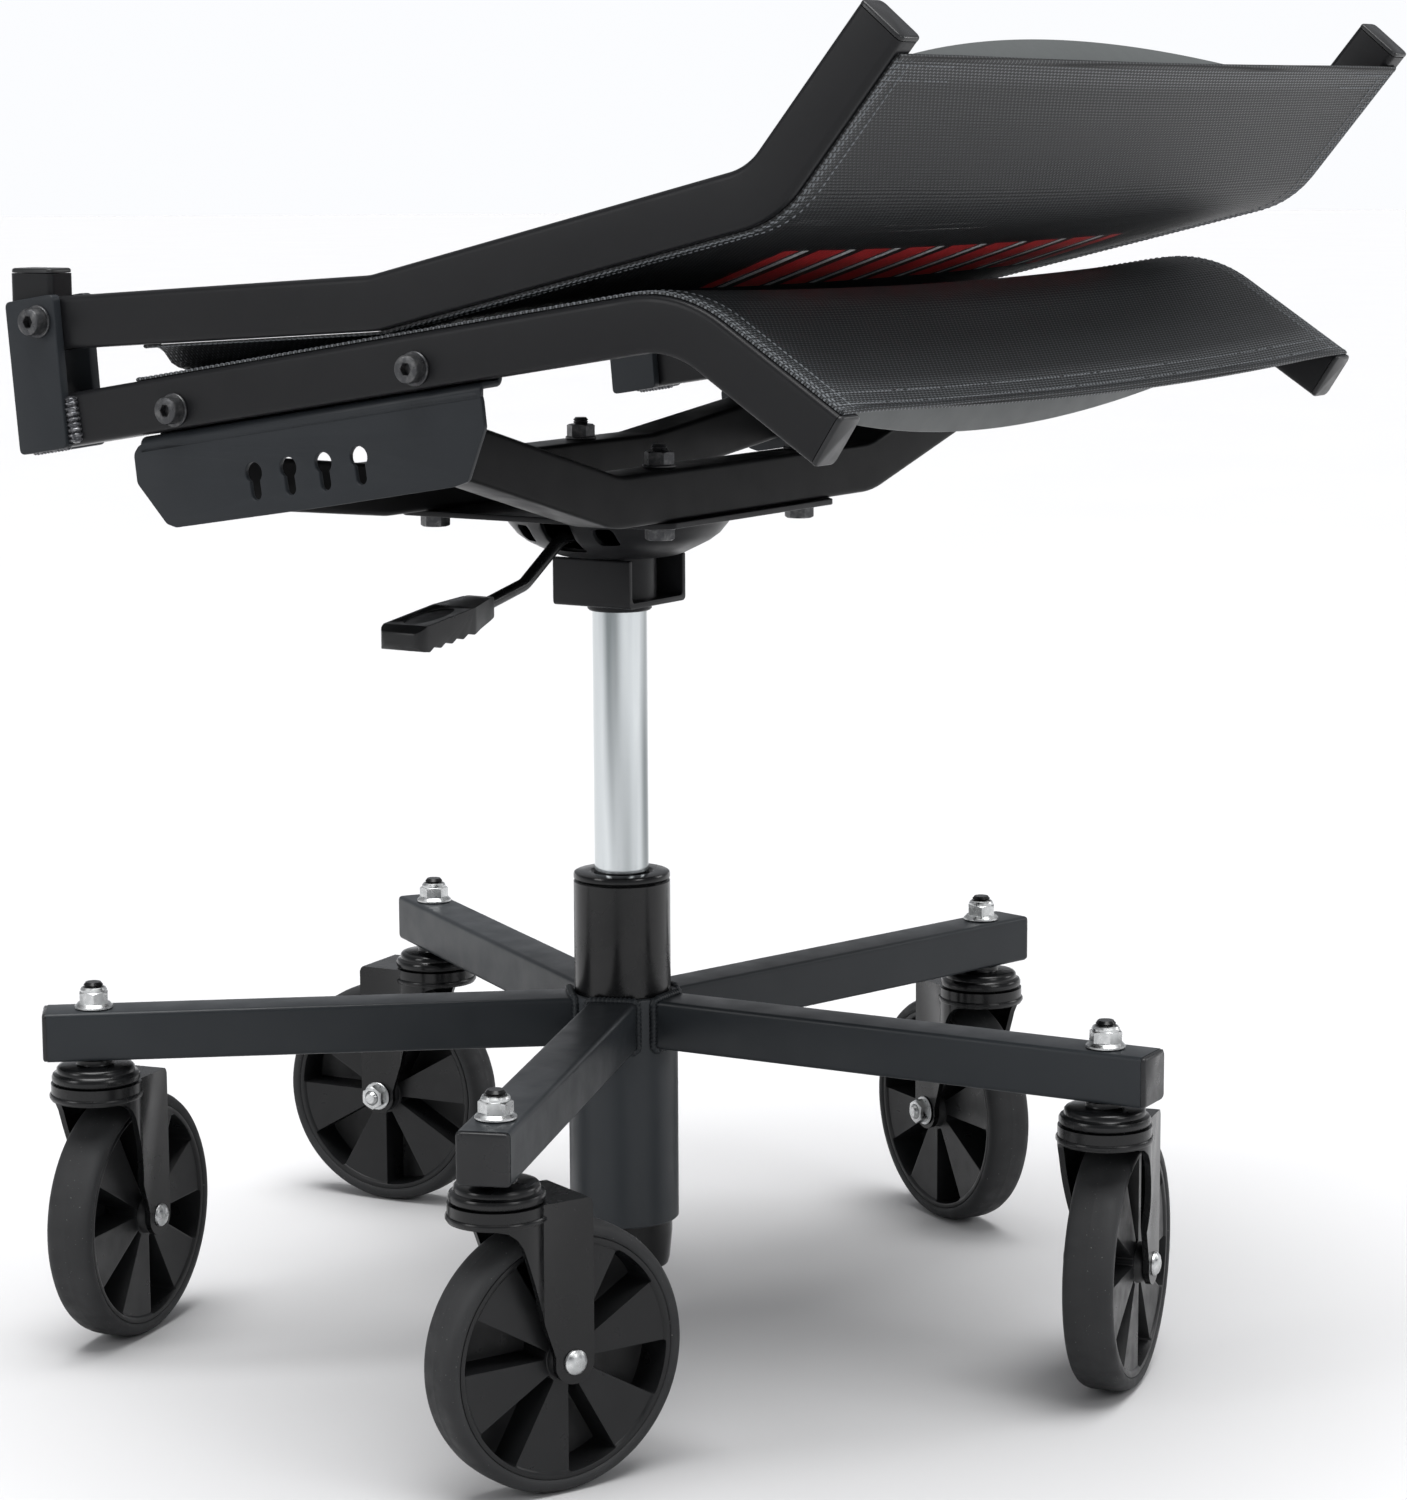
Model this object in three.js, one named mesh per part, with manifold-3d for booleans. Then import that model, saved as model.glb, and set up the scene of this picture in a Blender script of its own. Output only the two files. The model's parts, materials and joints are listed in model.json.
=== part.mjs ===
// A mechanics creeper seat: a folding mesh seat on a gas-lift column with a
// five-arm base on swivel casters. Millimetres, +Z up, the seat's front is -Y.
// The origin is on the floor, on the column's axis. The backrest is folded
// forward onto the seat and the column is fully raised.
import * as THREE from 'three';
import { mergeVertices } from 'three/addons/utils/BufferGeometryUtils.js';
import Module from 'manifold-3d';

const wasm = await Module();
wasm.setup();

const GAP = 0.3;                    // clearance left between neighbouring pieces
const DEG = Math.PI / 180;

// ---- driving dimensions -------------------------------------------------
const BASE = {
  armCount: 5, firstArmDeg: 57.8, armSize: 25.4, armWall: 1.8, armEdge: 2.4,
  armTop: 179.5, tipRadius: 297.8, nutRadius: 271.8,
  hubRadius: 28.5, hubBore: 25.4, hubBottom: 60, hubTop: 180.4,
};
// the way each caster trails, in degrees, in the order of the arms
const CASTER_HEADING_DEG = [96.5, 10.9, -22.8, 13.0, 61.4];
const CASTER = {
  trail: 29.5, wheelRadius: 64.5, tyreWidth: 25.2, tyreInner: 57.5,
  rimRadius: 57, rimWidth: 23.6, rimWall: 2.2, webThickness: 3, spokeThickness: 1.8, sectors: 12,
  bossRadius: 11, bossWidth: 30, axleRadius: 4,
  ringRadius: 23, ringTop: 141, ringBottom: 132.5, sheet: 3,
  legHalfWidth: 18.5, legRear: 40, legEndRadius: 10.5, pinRadius: 6.5,
};
const COLUMN = {
  tubeRadius: 25, tubeWall: 2.6, tubeBottom: 34, tubeTop: 239.2,
  ringTop: 243.6, rodRadius: 14, rodBottom: 168, rodTop: 403,
};
const HEAD = {
  collarRadius: 16.5, collarBottom: 379.4, channelBottom: 383, channelTop: 408,
  channelLength: 47, channelWidth: 52, sheet: 3, socketRadius: 19,
  bowlTop: 430.7, plateBottom: 431, plateSheet: 3, plateSide: 166,
  boltX: 65, boltY: 68, boltRadius: 4,
};
const SEAT = {
  railHeight: 25, railThick: 16.6, railWall: 1.6, outerX: 259, bendRadius: 55,
  slingThick: 0.9, slingRear: -95, carrierSize: 25.4,
};
const STRAP = { width: 16, thick: 4, bow: 35 };
// Side outlines run in [forward, up]: forward is measured from the column's
// axis towards the seat's front. These are the centre lines of the two rails.
const SEAT_LINE = [[-167, 483.1], [203.5, 542.7], [280.5, 492.7]];
const BACK_LINE = [[-166, 531.6], [42.5, 545.9], [247, 595.1], [305.9, 666.1]];
const PIVOT = [-149.5, 534];
const STUB = { rear: -172.5, front: -146.5, top: 558.5 };
const HINGE_PLATE = [[-164, 470.3], [-134.6, 475], [-140.6, 547], [-170.8, 542.4]];
const BRACKET_FACE = [
  [-98, 478.5], [-100.4, 473], [-98.7, 459.2], [-81.3, 441], [-75.7, 439.6],
  [13.7, 453.6], [84.8, 465.6], [92.8, 468.1], [102.5, 492.5], [100.8, 510.4],
];

// ---- materials ----------------------------------------------------------
const paint = (color, roughness, metalness = 0.1) =>
  new THREE.MeshStandardMaterial({ color, roughness, metalness });
const MAT = {
  powder: paint(0x2b2d30, 0.55, 0.3),
  satin: paint(0x141517, 0.45, 0.3),
  gloss: paint(0x0d0d0e, 0.25, 0.3),
  chrome: paint(0xc4c8c8, 0.15, 1),
  zinc: paint(0xb9c0c2, 0.3, 1),
  plastic: paint(0x121213, 0.5, 0),
  rubber: paint(0x2a2b2c, 0.85, 0),
  mesh: paint(0x1d1e20, 0.8, 0),
};

// ---- geometry helpers ---------------------------------------------------
function clean(geometry) {
  // positions only, with shared corners merged
  if (geometry.index && !geometry.attributes.normal) return geometry;
  const bare = geometry.index ? geometry.toNonIndexed() : geometry.clone();
  bare.deleteAttribute('normal');
  bare.deleteAttribute('uv');
  return mergeVertices(bare, 1e-3);
}

function manifoldOf(geometry) {
  const g = clean(geometry);
  return new wasm.Manifold(new wasm.Mesh({
    numProp: 3,
    vertProperties: new Float32Array(g.attributes.position.array),
    triVerts: new Uint32Array(g.index.array),
  }));
}

function geometryOf(manifold) {
  const mesh = manifold.getMesh();
  const g = new THREE.BufferGeometry();
  g.setAttribute('position', new THREE.BufferAttribute(new Float32Array(mesh.vertProperties), 3));
  g.setIndex(new THREE.BufferAttribute(new Uint32Array(mesh.triVerts), 1));
  return g;
}

const union = (first, ...rest) =>
  geometryOf(rest.reduce((sum, g) => sum.add(manifoldOf(g)), manifoldOf(first)));
const cut = (first, ...rest) =>
  geometryOf(rest.reduce((left, g) => left.subtract(manifoldOf(g)), manifoldOf(first)));
const common = (first, second) => geometryOf(manifoldOf(first).intersect(manifoldOf(second)));

function mapped(geometry, matrix) {
  // moves a shape; a mirroring matrix would turn its faces inside out
  const g = clean(geometry).clone().applyMatrix4(matrix);
  if (matrix.determinant() > 0) return g;
  const index = g.index.array;
  for (let i = 0; i < index.length; i += 3) [index[i], index[i + 1]] = [index[i + 1], index[i]];
  return g;
}

function block(x, y, z) {
  // a box given by its low and high limits along each axis
  const g = new THREE.BoxGeometry(x[1] - x[0], y[1] - y[0], z[1] - z[0]);
  return g.translate((x[0] + x[1]) / 2, (y[0] + y[1]) / 2, (z[0] + z[1]) / 2);
}

function prism(points, from, to) {
  // a flat outline in XY pulled up along Z
  const shape = new THREE.Shape(points.map(([x, y]) => new THREE.Vector2(x, y)));
  const g = new THREE.ExtrudeGeometry(shape, { depth: to - from, bevelEnabled: false });
  return g.translate(0, 0, from);
}

function sideProfile(points, from, to) {
  // a [forward, up] outline pulled across the seat along X
  return mapped(prism(points, from, to), new THREE.Matrix4().set(
    0, 0, 1, 0,
    -1, 0, 0, 0,
    0, 1, 0, 0,
    0, 0, 0, 1));
}

function frontProfile(points, from, to) {
  // an [x, up] outline pulled towards the front, from and to being forward
  return mapped(prism(points, from, to), new THREE.Matrix4().set(
    1, 0, 0, 0,
    0, 0, -1, 0,
    0, 1, 0, 0,
    0, 0, 0, 1));
}

function turned(profile, segments, center = [0, 0]) {
  // a [radius, height] outline turned about the vertical axis
  const points = profile.map(([r, z]) => new THREE.Vector2(r, z));
  if (THREE.ShapeUtils.area(points) < 0) points.reverse();
  const g = clean(new THREE.LatheGeometry(points, segments));
  return g.rotateX(Math.PI / 2).translate(center[0], center[1], 0);
}

const rod = (radius, from, to, segments, center) =>
  turned([[0, from], [radius, from], [radius, to], [0, to]], segments, center);

const ring = (inner, outer, from, to, segments, center) =>
  turned([[inner, from], [outer, from], [outer, to], [inner, to], [inner, from]],
    segments, center);

const alongY = (geometry) => geometry.rotateX(Math.PI / 2);
const alongX = (geometry) => geometry.rotateY(Math.PI / 2);

function offsetLine(line, distance, rounding, steps) {
  // one edge of a rail: its centre line moved sideways, its corners rounded
  const unit = (a, b) => {
    const length = Math.hypot(b[0] - a[0], b[1] - a[1]);
    return [(b[0] - a[0]) / length, (b[1] - a[1]) / length];
  };
  const out = [];
  line.forEach((p, i) => {
    const before = i > 0 ? unit(line[i - 1], p) : null;
    const after = i < line.length - 1 ? unit(p, line[i + 1]) : null;
    if (!before || !after) {
      const d = before ?? after;
      out.push([p[0] - d[1] * distance, p[1] + d[0] * distance]);
      return;
    }
    const turn = Math.atan2(before[0] * after[1] - before[1] * after[0],
      before[0] * after[0] + before[1] * after[1]);
    const side = Math.sign(turn);
    const reach = rounding * Math.tan(Math.abs(turn) / 2);
    const start = [p[0] - before[0] * reach, p[1] - before[1] * reach];
    const center = [start[0] - before[1] * rounding * side, start[1] + before[0] * rounding * side];
    const radius = rounding - distance * side;
    for (let k = 0; k <= steps; k++) {
      const angle = Math.atan2(-before[0] * side, before[1] * side) + turn * k / steps;
      out.push([center[0] + radius * Math.cos(angle), center[1] + radius * Math.sin(angle)]);
    }
  });
  return out;
}

function extendLine(line, startBy, endBy) {
  const out = line.map((p) => [...p]);
  const move = (p, q, by) => {
    const length = Math.hypot(p[0] - q[0], p[1] - q[1]);
    return [p[0] + (p[0] - q[0]) / length * by, p[1] + (p[1] - q[1]) / length * by];
  };
  out[0] = move(line[0], line[1], startBy);
  out[out.length - 1] = move(line.at(-1), line.at(-2), endBy);
  return out;
}

function ribbon(line, low, high, rounding, steps) {
  return [...offsetLine(line, low, rounding, steps),
    ...offsetLine(line, high, rounding, steps).reverse()];
}

function pathTube(points, radius, segments) {
  // a round rod bent along straight runs
  const curve = new THREE.CurvePath();
  for (let i = 0; i + 1 < points.length; i++) {
    curve.add(new THREE.LineCurve3(points[i], points[i + 1]));
  }
  const shape = new THREE.Shape();
  for (let k = 0; k < segments; k++) {
    const a = 2 * Math.PI * k / segments;
    const at = [radius * Math.cos(a), radius * Math.sin(a)];
    if (k === 0) shape.moveTo(...at); else shape.lineTo(...at);
  }
  shape.closePath();
  return new THREE.ExtrudeGeometry(shape, { steps: 12, extrudePath: curve, bevelEnabled: false });
}

const root = new THREE.Group();

function part(name, geometry, material, parent = root) {
  const shape = geometryOf(manifoldOf(geometry)).toNonIndexed();
  shape.computeVertexNormals();
  const mesh = new THREE.Mesh(shape, material);
  mesh.name = name;
  parent.add(mesh);
  return mesh;
}

// ---- the five-arm base --------------------------------------------------
function armAngles() {
  return Array.from({ length: BASE.armCount },
    (_, i) => (BASE.firstArmDeg + i * 360 / BASE.armCount) * DEG);
}

function roundedSquare(half, edge) {
  const out = [];
  for (const [sx, sy, start] of [[1, 1, 0], [-1, 1, 90], [-1, -1, 180], [1, -1, 270]]) {
    for (const step of [0, 90]) {
      const a = (start + step) * DEG;
      out.push([sx * (half - edge) + edge * Math.cos(a), sy * (half - edge) + edge * Math.sin(a)]);
    }
  }
  return out;
}

function armSolid() {
  // lies along +X with its centre at the height of the arm
  const half = BASE.armSize / 2;
  const middle = BASE.armTop - half;
  const inner = half - BASE.armWall;
  const capStart = BASE.tipRadius - 2;
  const outer = alongX(prism(roundedSquare(half, BASE.armEdge), 20, BASE.tipRadius));
  const hollow = block([10, capStart], [-inner, inner], [-inner, inner]);
  const cope = rod(BASE.hubRadius + GAP, -40, 40, 24);
  const pinHole = rod(5.6, -40, 40, 10, [BASE.nutRadius, 0]);
  return cut(outer, hollow, cope, pinHole).translate(0, 0, middle);
}

function buildBase() {
  part('hub_tube', ring(BASE.hubBore, BASE.hubRadius, BASE.hubBottom, BASE.hubTop, 24), MAT.powder);
  armAngles().forEach((angle, i) => {
    const mesh = part(`arm_${i + 1}`, armSolid(), MAT.powder);
    mesh.rotation.z = angle;
  });
}

// ---- one caster, built about its own swivel axis, trailing along +X ------
function raceSolid() {
  const c = CASTER;
  const armBottom = BASE.armTop - BASE.armSize;
  return turned([
    [0, c.ringTop - 6], [c.pinRadius, c.ringTop - 6], [c.pinRadius, c.ringTop + GAP],
    [20, c.ringTop + GAP], [22.6, 145.6], [19.5, 150], [9.8, 150.6],
    [9.8, armBottom - GAP], [5, armBottom - GAP], [5, 193], [0, 193],
  ], 16);
}

function nutSolid() {
  const low = BASE.armTop + GAP;
  const flange = turned([[0, low], [9.8, low], [9.8, low + 1.4], [8, low + 2.4], [0, low + 2.4]], 16);
  const hex = rod(8, low + 2, low + 8.4, 6);
  const collar = rod(6.9, low + 8, low + 11, 10);
  return cut(union(flange, hex, collar), rod(5.5, low - 1, low + 12, 10));
}

function forkSideOutline() {
  // the pressed leg seen from the side: [behind the swivel axis, up]
  const c = CASTER;
  const front = [[-c.ringRadius - 1, c.ringTop + 1], [-c.ringRadius - 1, c.ringBottom],
    [-9, c.ringBottom], [-2, 129], [4, 119], [10, 103], [c.trail - c.legEndRadius, 66]];
  const end = [];
  for (let a = 200; a <= 340; a += 35) {
    end.push([c.trail + c.legEndRadius * Math.cos(a * DEG),
      c.wheelRadius + c.legEndRadius * Math.sin(a * DEG)]);
  }
  return [...front, ...end, [c.legRear, 67], [c.legRear, c.ringTop - 2],
    [c.legRear - 2, c.ringTop + 1]];
}

function forkSolid() {
  const c = CASTER;
  const bottom = c.wheelRadius - 14;
  const inner = c.legHalfWidth - c.sheet;
  const underTop = c.ringTop - c.sheet;
  const outer = union(rod(c.ringRadius, bottom, c.ringTop, 18),
    block([0, c.legRear], [-c.legHalfWidth, c.legHalfWidth], [bottom, c.ringTop]));
  const hollow = union(rod(c.ringRadius - c.sheet, 0, underTop, 18),
    block([0, c.legRear + 20], [-inner, inner], [0, underTop]));
  const side = alongY(prism(forkSideOutline(), -40, 40));
  const axleHole = alongY(rod(c.axleRadius + 0.35, -40, 40, 10))
    .translate(c.trail, 0, c.wheelRadius);
  const shell = common(cut(outer, hollow), side);
  return cut(shell, rod(c.pinRadius + 0.4, 100, 160, 16), axleHole);
}

function tyreSolid() {
  const c = CASTER;
  const w = c.tyreWidth / 2;
  return turned([
    [c.tyreInner, -w], [62.8, -w], [c.wheelRadius, -w + 4.4], [c.wheelRadius, w - 4.4],
    [62.8, w], [c.tyreInner, w], [c.tyreInner, -w],
  ], 28);
}

function rimPocket(angle, step, from, to) {
  // one wedge between two spokes, its sides parallel to them
  const c = CASTER;
  const corner = (radius, degrees, aside) => [
    radius * Math.cos(degrees * DEG) - aside * Math.sin(degrees * DEG),
    radius * Math.sin(degrees * DEG) + aside * Math.cos(degrees * DEG)];
  const outer = c.rimRadius - c.rimWall;
  const side = c.spokeThickness / 2;
  return prism([corner(c.bossRadius, angle, side), corner(outer, angle, side),
    corner(outer, angle + step / 2, 0), corner(outer, angle + step, -side),
    corner(c.bossRadius, angle + step, -side)], from, to);
}

function rimSolid() {
  // the wedges open by turns to one side and the other, each closed by a web
  const c = CASTER;
  const half = c.rimWidth / 2;
  const step = 360 / c.sectors;
  const disc = union(rod(c.rimRadius, -half, half, 24),
    rod(c.bossRadius, -c.bossWidth / 2, c.bossWidth / 2, 12));
  const pockets = Array.from({ length: c.sectors }, (_, k) => (k % 2 === 0
    ? rimPocket(k * step, step, -half - 9, half - c.webThickness)
    : rimPocket(k * step, step, -half + c.webThickness, half + 9)));
  return cut(disc, ...pockets, rod(c.axleRadius + 0.35, -20, 20, 10));
}

function axleSolid() {
  // a domed bolt head on the right of the trail, a nut on the left
  const c = CASTER;
  const side = c.legHalfWidth + GAP;
  const shank = rod(c.axleRadius, -side - 1, side + 7.6, 10);
  const head = turned([[0, -side - 3], [3.6, -side - 2.7], [5.8, -side - 1],
    [5.8, -side], [0, -side]], 12);
  const nut = rod(6.6, side, side + 5.6, 6);
  return union(shank, head, nut).rotateX(-Math.PI / 2);
}

function onAxle(geometry) {
  return geometry.translate(CASTER.trail, 0, CASTER.wheelRadius);
}

function buildCasters() {
  const solids = {
    caster_race: [raceSolid(), MAT.gloss],
    caster_nut: [nutSolid(), MAT.zinc],
    caster_fork: [forkSolid(), MAT.gloss],
    caster_rim: [onAxle(rimSolid().rotateX(-Math.PI / 2)), MAT.plastic],
    caster_tyre: [onAxle(tyreSolid().rotateX(-Math.PI / 2)), MAT.rubber],
    caster_axle: [onAxle(axleSolid()), MAT.zinc],
  };
  armAngles().forEach((angle, i) => {
    const station = new THREE.Group();
    station.position.set(BASE.nutRadius * Math.cos(angle), BASE.nutRadius * Math.sin(angle), 0);
    station.rotation.z = CASTER_HEADING_DEG[i] * DEG;
    root.add(station);
    for (const [name, [geometry, material]] of Object.entries(solids)) {
      part(`${name}_${i + 1}`, geometry, material, station);
    }
  });
}

// ---- the gas-lift column ------------------------------------------------
function buildColumn() {
  const k = COLUMN;
  const inner = k.tubeRadius - k.tubeWall;
  part('gas_cylinder', turned([
    [0, k.tubeBottom], [23.4, k.tubeBottom], [k.tubeRadius, k.tubeBottom + 18],
    [k.tubeRadius, k.tubeTop], [inner, k.tubeTop], [inner, k.tubeBottom + 4],
    [0, k.tubeBottom + 4],
  ], 24), MAT.gloss);
  part('guide_ring', turned([
    [k.rodRadius + 0.6, k.tubeTop - 12], [inner - GAP, k.tubeTop - 12],
    [inner - GAP, k.tubeTop + GAP], [k.tubeRadius, k.tubeTop + GAP],
    [k.tubeRadius, k.ringTop],
    [k.rodRadius + 0.6, k.ringTop], [k.rodRadius + 0.6, k.tubeTop - 12],
  ], 24), MAT.gloss);
  part('gas_rod', rod(k.rodRadius, k.rodBottom, k.rodTop, 24), MAT.chrome);
}

// ---- the head that carries the seat -------------------------------------
function socketSolid() {
  const h = HEAD;
  const x = h.channelWidth / 2;
  const y = h.channelLength / 2;
  const low = h.channelBottom;
  const bore = COLUMN.rodRadius + 0.6;
  const top = h.channelTop - GAP;
  const walls = [[-x, -x + h.sheet], [x - h.sheet, x]].map((span) => block(span, [-y, y], [low, top]));
  const floor = block([-x, x], [-y, y], [low, low + h.sheet]);
  const socket = rod(h.socketRadius, low, top, 20);
  const collar = rod(h.collarRadius, h.collarBottom, low + 1, 20);
  return cut(union(floor, ...walls, socket, collar), rod(bore, 370, COLUMN.rodTop + 0.5, 20));
}

function bowlSolid() {
  const h = HEAD;
  const shell = turned([
    [0, h.channelTop], [32, h.channelTop], [50, 417.5],
    [60, h.bowlTop], [55, h.bowlTop], [47.5, 420],
    [31.5, h.channelTop + 3], [0, h.channelTop + 3],
  ], 24);
  const leverSlot = block([-70, -38], [-9, 9], [413, 429]);
  const sideSlots = [-24, 24].map((y) => block([-70, -34], [y - 5, y + 5], [417, 426]));
  return cut(shell, leverSlot, ...sideSlots);
}

function plateSolid() {
  // the plate with its four bolts, whose nuts stand on the carrier tubes
  const h = HEAD;
  const half = h.plateSide / 2;
  const c = half - 8;
  const outline = [[half, -c], [half, c], [c, half], [-c, half], [-half, c], [-half, -c],
    [-c, -half], [c, -half]];
  const top = h.plateBottom + h.plateSheet;
  const tubeTop = top + GAP + SEAT.carrierSize + GAP;
  let plate = prism(outline, h.plateBottom, top);
  for (const sx of [-1, 1]) {
    for (const sy of [-1, 1]) {
      const at = [sx * h.boltX, sy * h.boltY];
      plate = union(plate, rod(h.boltRadius, h.plateBottom - 3, tubeTop + 9, 8, at),
        rod(7, h.plateBottom - 4.6, h.plateBottom + 1, 6, at),
        rod(7.4, tubeTop, tubeTop + 6.5, 6, at));
    }
  }
  return plate;
}

const LEVER_PATH = [[-36, 421.5], [-52, 420], [-84, 400.4], [-127, 391.5]];

function leverSolid() {
  const points = LEVER_PATH.map(([x, z]) => new THREE.Vector3(x, 0, z));
  return pathTube(points, 3.3, 8);
}

function paddleSolid() {
  // a flat grip pad with a scalloped underside, its outer end a little lower
  const outline = [[-118, 398.4], [-124, 398.2], [-181, 390.6], [-186.5, 387.6], [-187, 381.5],
    [-184, 378.8], [-179, 378.3], [-175, 380.8], [-170.5, 379.2], [-166, 381.8], [-161.5, 380.3],
    [-157, 382.8], [-152.5, 381.4], [-148, 383.8], [-143.5, 382.7], [-137, 384.6], [-118, 388.4]];
  const plan = [[-115, -6], [-124, -8.5], [-142, -13], [-181, -13], [-188.5, -8], [-188.5, 8],
    [-181, 13], [-142, 13], [-124, 8.5], [-115, 6]];
  const body = common(frontProfile(outline, -17, 17), prism(plan, 370, 410));
  const points = LEVER_PATH.slice(2).map(([x, z]) => new THREE.Vector3(x, 0, z));
  const tail = points[1].clone().sub(points[0]).setLength(6).add(points[1]);
  return cut(body, pathTube([points[0], tail], 3.3 + GAP, 10));
}

function carrierSolid(rise) {
  // a square tube across the seat, its ends bent up to the side brackets
  const half = SEAT.carrierSize / 2;
  const flat = 118;
  const middle = HEAD.plateBottom + HEAD.plateSheet + GAP + half;
  const line = [[-270, middle + rise * 152], [-flat, middle], [flat, middle],
    [270, middle + rise * 152]];
  const wall = 1.8;
  const outer = frontProfile(ribbon(line, -half, half, 60, 3), -half, half);
  const inner = frontProfile(ribbon(line, -half + wall, half - wall, 60, 3),
    -half + wall, half - wall);
  const ends = block([-252.6, 252.6], [-20, 20], [400, 520]);
  const holes = [-1, 1].map((s) => rod(HEAD.boltRadius + 0.5, 400, 520, 8, [s * HEAD.boltX, 0]));
  return cut(common(cut(outer, inner), ends), ...holes);
}

function buildHead() {
  part('swivel_socket', socketSolid(), MAT.satin);
  part('tilt_bowl', bowlSolid(), MAT.satin);
  part('mounting_plate', plateSolid(), MAT.satin);
  part('release_lever', leverSolid(), MAT.gloss);
  part('lever_paddle', paddleSolid(), MAT.plastic);
  for (const [name, side, rise] of [['carrier_front', -1, 0.277], ['carrier_rear', 1, 0.112]]) {
    part(name, carrierSolid(rise).translate(0, side * HEAD.boltY, 0), MAT.satin);
  }
}

// ---- the seat frame -----------------------------------------------------
function railSolid(line, rounding, open) {
  // a flat tube bent in side view; its rear end is left open unless told
  const half = SEAT.railHeight / 2;
  const t = SEAT.railWall;
  const x = [SEAT.outerX - SEAT.railThick, SEAT.outerX];
  const hollowLine = extendLine(line, open ? 5 : -t, -t);
  const outer = sideProfile(ribbon(line, -half, half, rounding, 6), x[0], x[1]);
  const inner = sideProfile(ribbon(hollowLine, -half + t, half - t, rounding, 6),
    x[0] + t, x[1] - t);
  return cut(outer, inner);
}

function backRailSolid() {
  // the backrest tube with the short upright stub that stops it when it opens
  const x = [SEAT.outerX - SEAT.railThick, SEAT.outerX];
  const t = SEAT.railWall;
  const stub = sideProfile([[STUB.rear, 519.5], [STUB.front, 521], [STUB.front, STUB.top],
    [STUB.rear, STUB.top]], x[0], x[1]);
  const stubHollow = sideProfile([[STUB.rear + t, 521.5], [STUB.front - t, 523],
    [STUB.front - t, STUB.top - t], [STUB.rear + t, STUB.top - t]], x[0] + t, x[1] - t);
  const line = [[STUB.rear + 1, BACK_LINE[0][1] - 0.45], ...BACK_LINE.slice(1)];
  const pin = pivotHole(4.6);
  return cut(union(railSolid(line, 40, false), stub), stubHollow, pin);
}

function acrossAt([forward, up], geometry) {
  // lays an upright turned piece along X at a point of the side view
  return alongX(geometry).translate(0, -forward, up);
}

const pivotHole = (radius) => acrossAt(PIVOT, rod(radius, 200, 300, 12));

function hingeSolid() {
  // two plates joined by the spacer that the stub comes to rest on
  const out = SEAT.outerX + GAP;
  const inn = SEAT.outerX - SEAT.railThick - GAP;
  const plates = [[out, out + 5.4], [inn - 5.4, inn]].map(([a, b]) => sideProfile(HINGE_PLATE, a, b));
  const spacer = sideProfile([[-167.5, 502.2], [-160.5, 503.3], [-161, 506.7], [-168, 505.9]],
    inn - 1, out + 1);
  return cut(union(...plates, spacer), pivotHole(4.6));
}

function capScrew(tip, seat) {
  // a cylinder-head screw with its washer, which rests at the height of seat
  return union(rod(4, tip, seat + 3, 8), rod(7.6, seat, seat + 1.5, 12),
    rod(6.4, seat + 1, seat + 7.6, 12));
}

function pivotBoltSolid() {
  const out = SEAT.outerX + GAP + 5.4 + GAP;
  const inn = SEAT.outerX - SEAT.railThick - GAP - 5.4 - GAP;
  return acrossAt(PIVOT, union(capScrew(inn - 8, out), rod(7.4, inn - 6.4, inn, 6)));
}

function keyhole(forward, up, lean) {
  // a round hole with a narrower slot below it, cut across the seat
  const side = (points) => sideProfile(points, 230, 280);
  const round = Array.from({ length: 12 }, (_, k) => {
    const a = 2 * Math.PI * (k + 0.5) / 12;
    return [forward + 4.9 * Math.cos(a), up + 4.9 * Math.sin(a)];
  });
  const [dx, dz] = [Math.sin(lean), -Math.cos(lean)];
  const along = (s, w) => [forward + dx * s + dz * w, up + dz * s - dx * w];
  const slot = [along(0, 3), along(0, -3), along(11, -3), along(12.6, -1.4), along(12.6, 1.4),
    along(11, 3)];
  return union(side(round), side(slot));
}

const RAIL_LEAN = Math.atan2(SEAT_LINE[1][1] - SEAT_LINE[0][1], SEAT_LINE[1][0] - SEAT_LINE[0][0]);
const RAIL_SCREWS = [[-72.2, 494.7], [67.1, 517.7]];
const KEYHOLES = [[-28.6, 467.2], [-8.4, 470.4], [11.9, 473.4], [32.3, 476.9]];

function bracketSolid() {
  // a stepped sheet: a flange inside the rail, a shelf under it and a face below,
  // with the two screws that hold it through the rail
  const inner = SEAT.outerX - SEAT.railThick - GAP;
  const face = [SEAT.outerX - 5.4, SEAT.outerX - 2.6];
  const slope = Math.tan(RAIL_LEAN);
  const under = (f) => SEAT_LINE[0][1] + (f - SEAT_LINE[0][0]) * slope - 12.7 / Math.cos(RAIL_LEAN);
  const band = (from, to, low, high) => [[from, under(from) + low], [to, under(to) + low],
    [to, under(to) + high], [from, under(from) + high]];
  const sheet = cut(sideProfile(BRACKET_FACE, face[0], face[1]),
    sideProfile(band(-130, 130, -1.2, 20), 200, 300));
  const shelf = sideProfile(band(-96, 100.5, -3.6, -0.8), inner - 2.8, face[1]);
  const flange = sideProfile(band(-90, 100.5, -3.6, 17), inner - 2.8, inner);
  const screws = RAIL_SCREWS.map((at) =>
    acrossAt(at, capScrew(inner - 5, SEAT.outerX + GAP)));
  const holes = KEYHOLES.map(([f, u]) => keyhole(f, u, RAIL_LEAN));
  return cut(union(sheet, shelf, flange, ...screws), ...holes);
}

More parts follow.
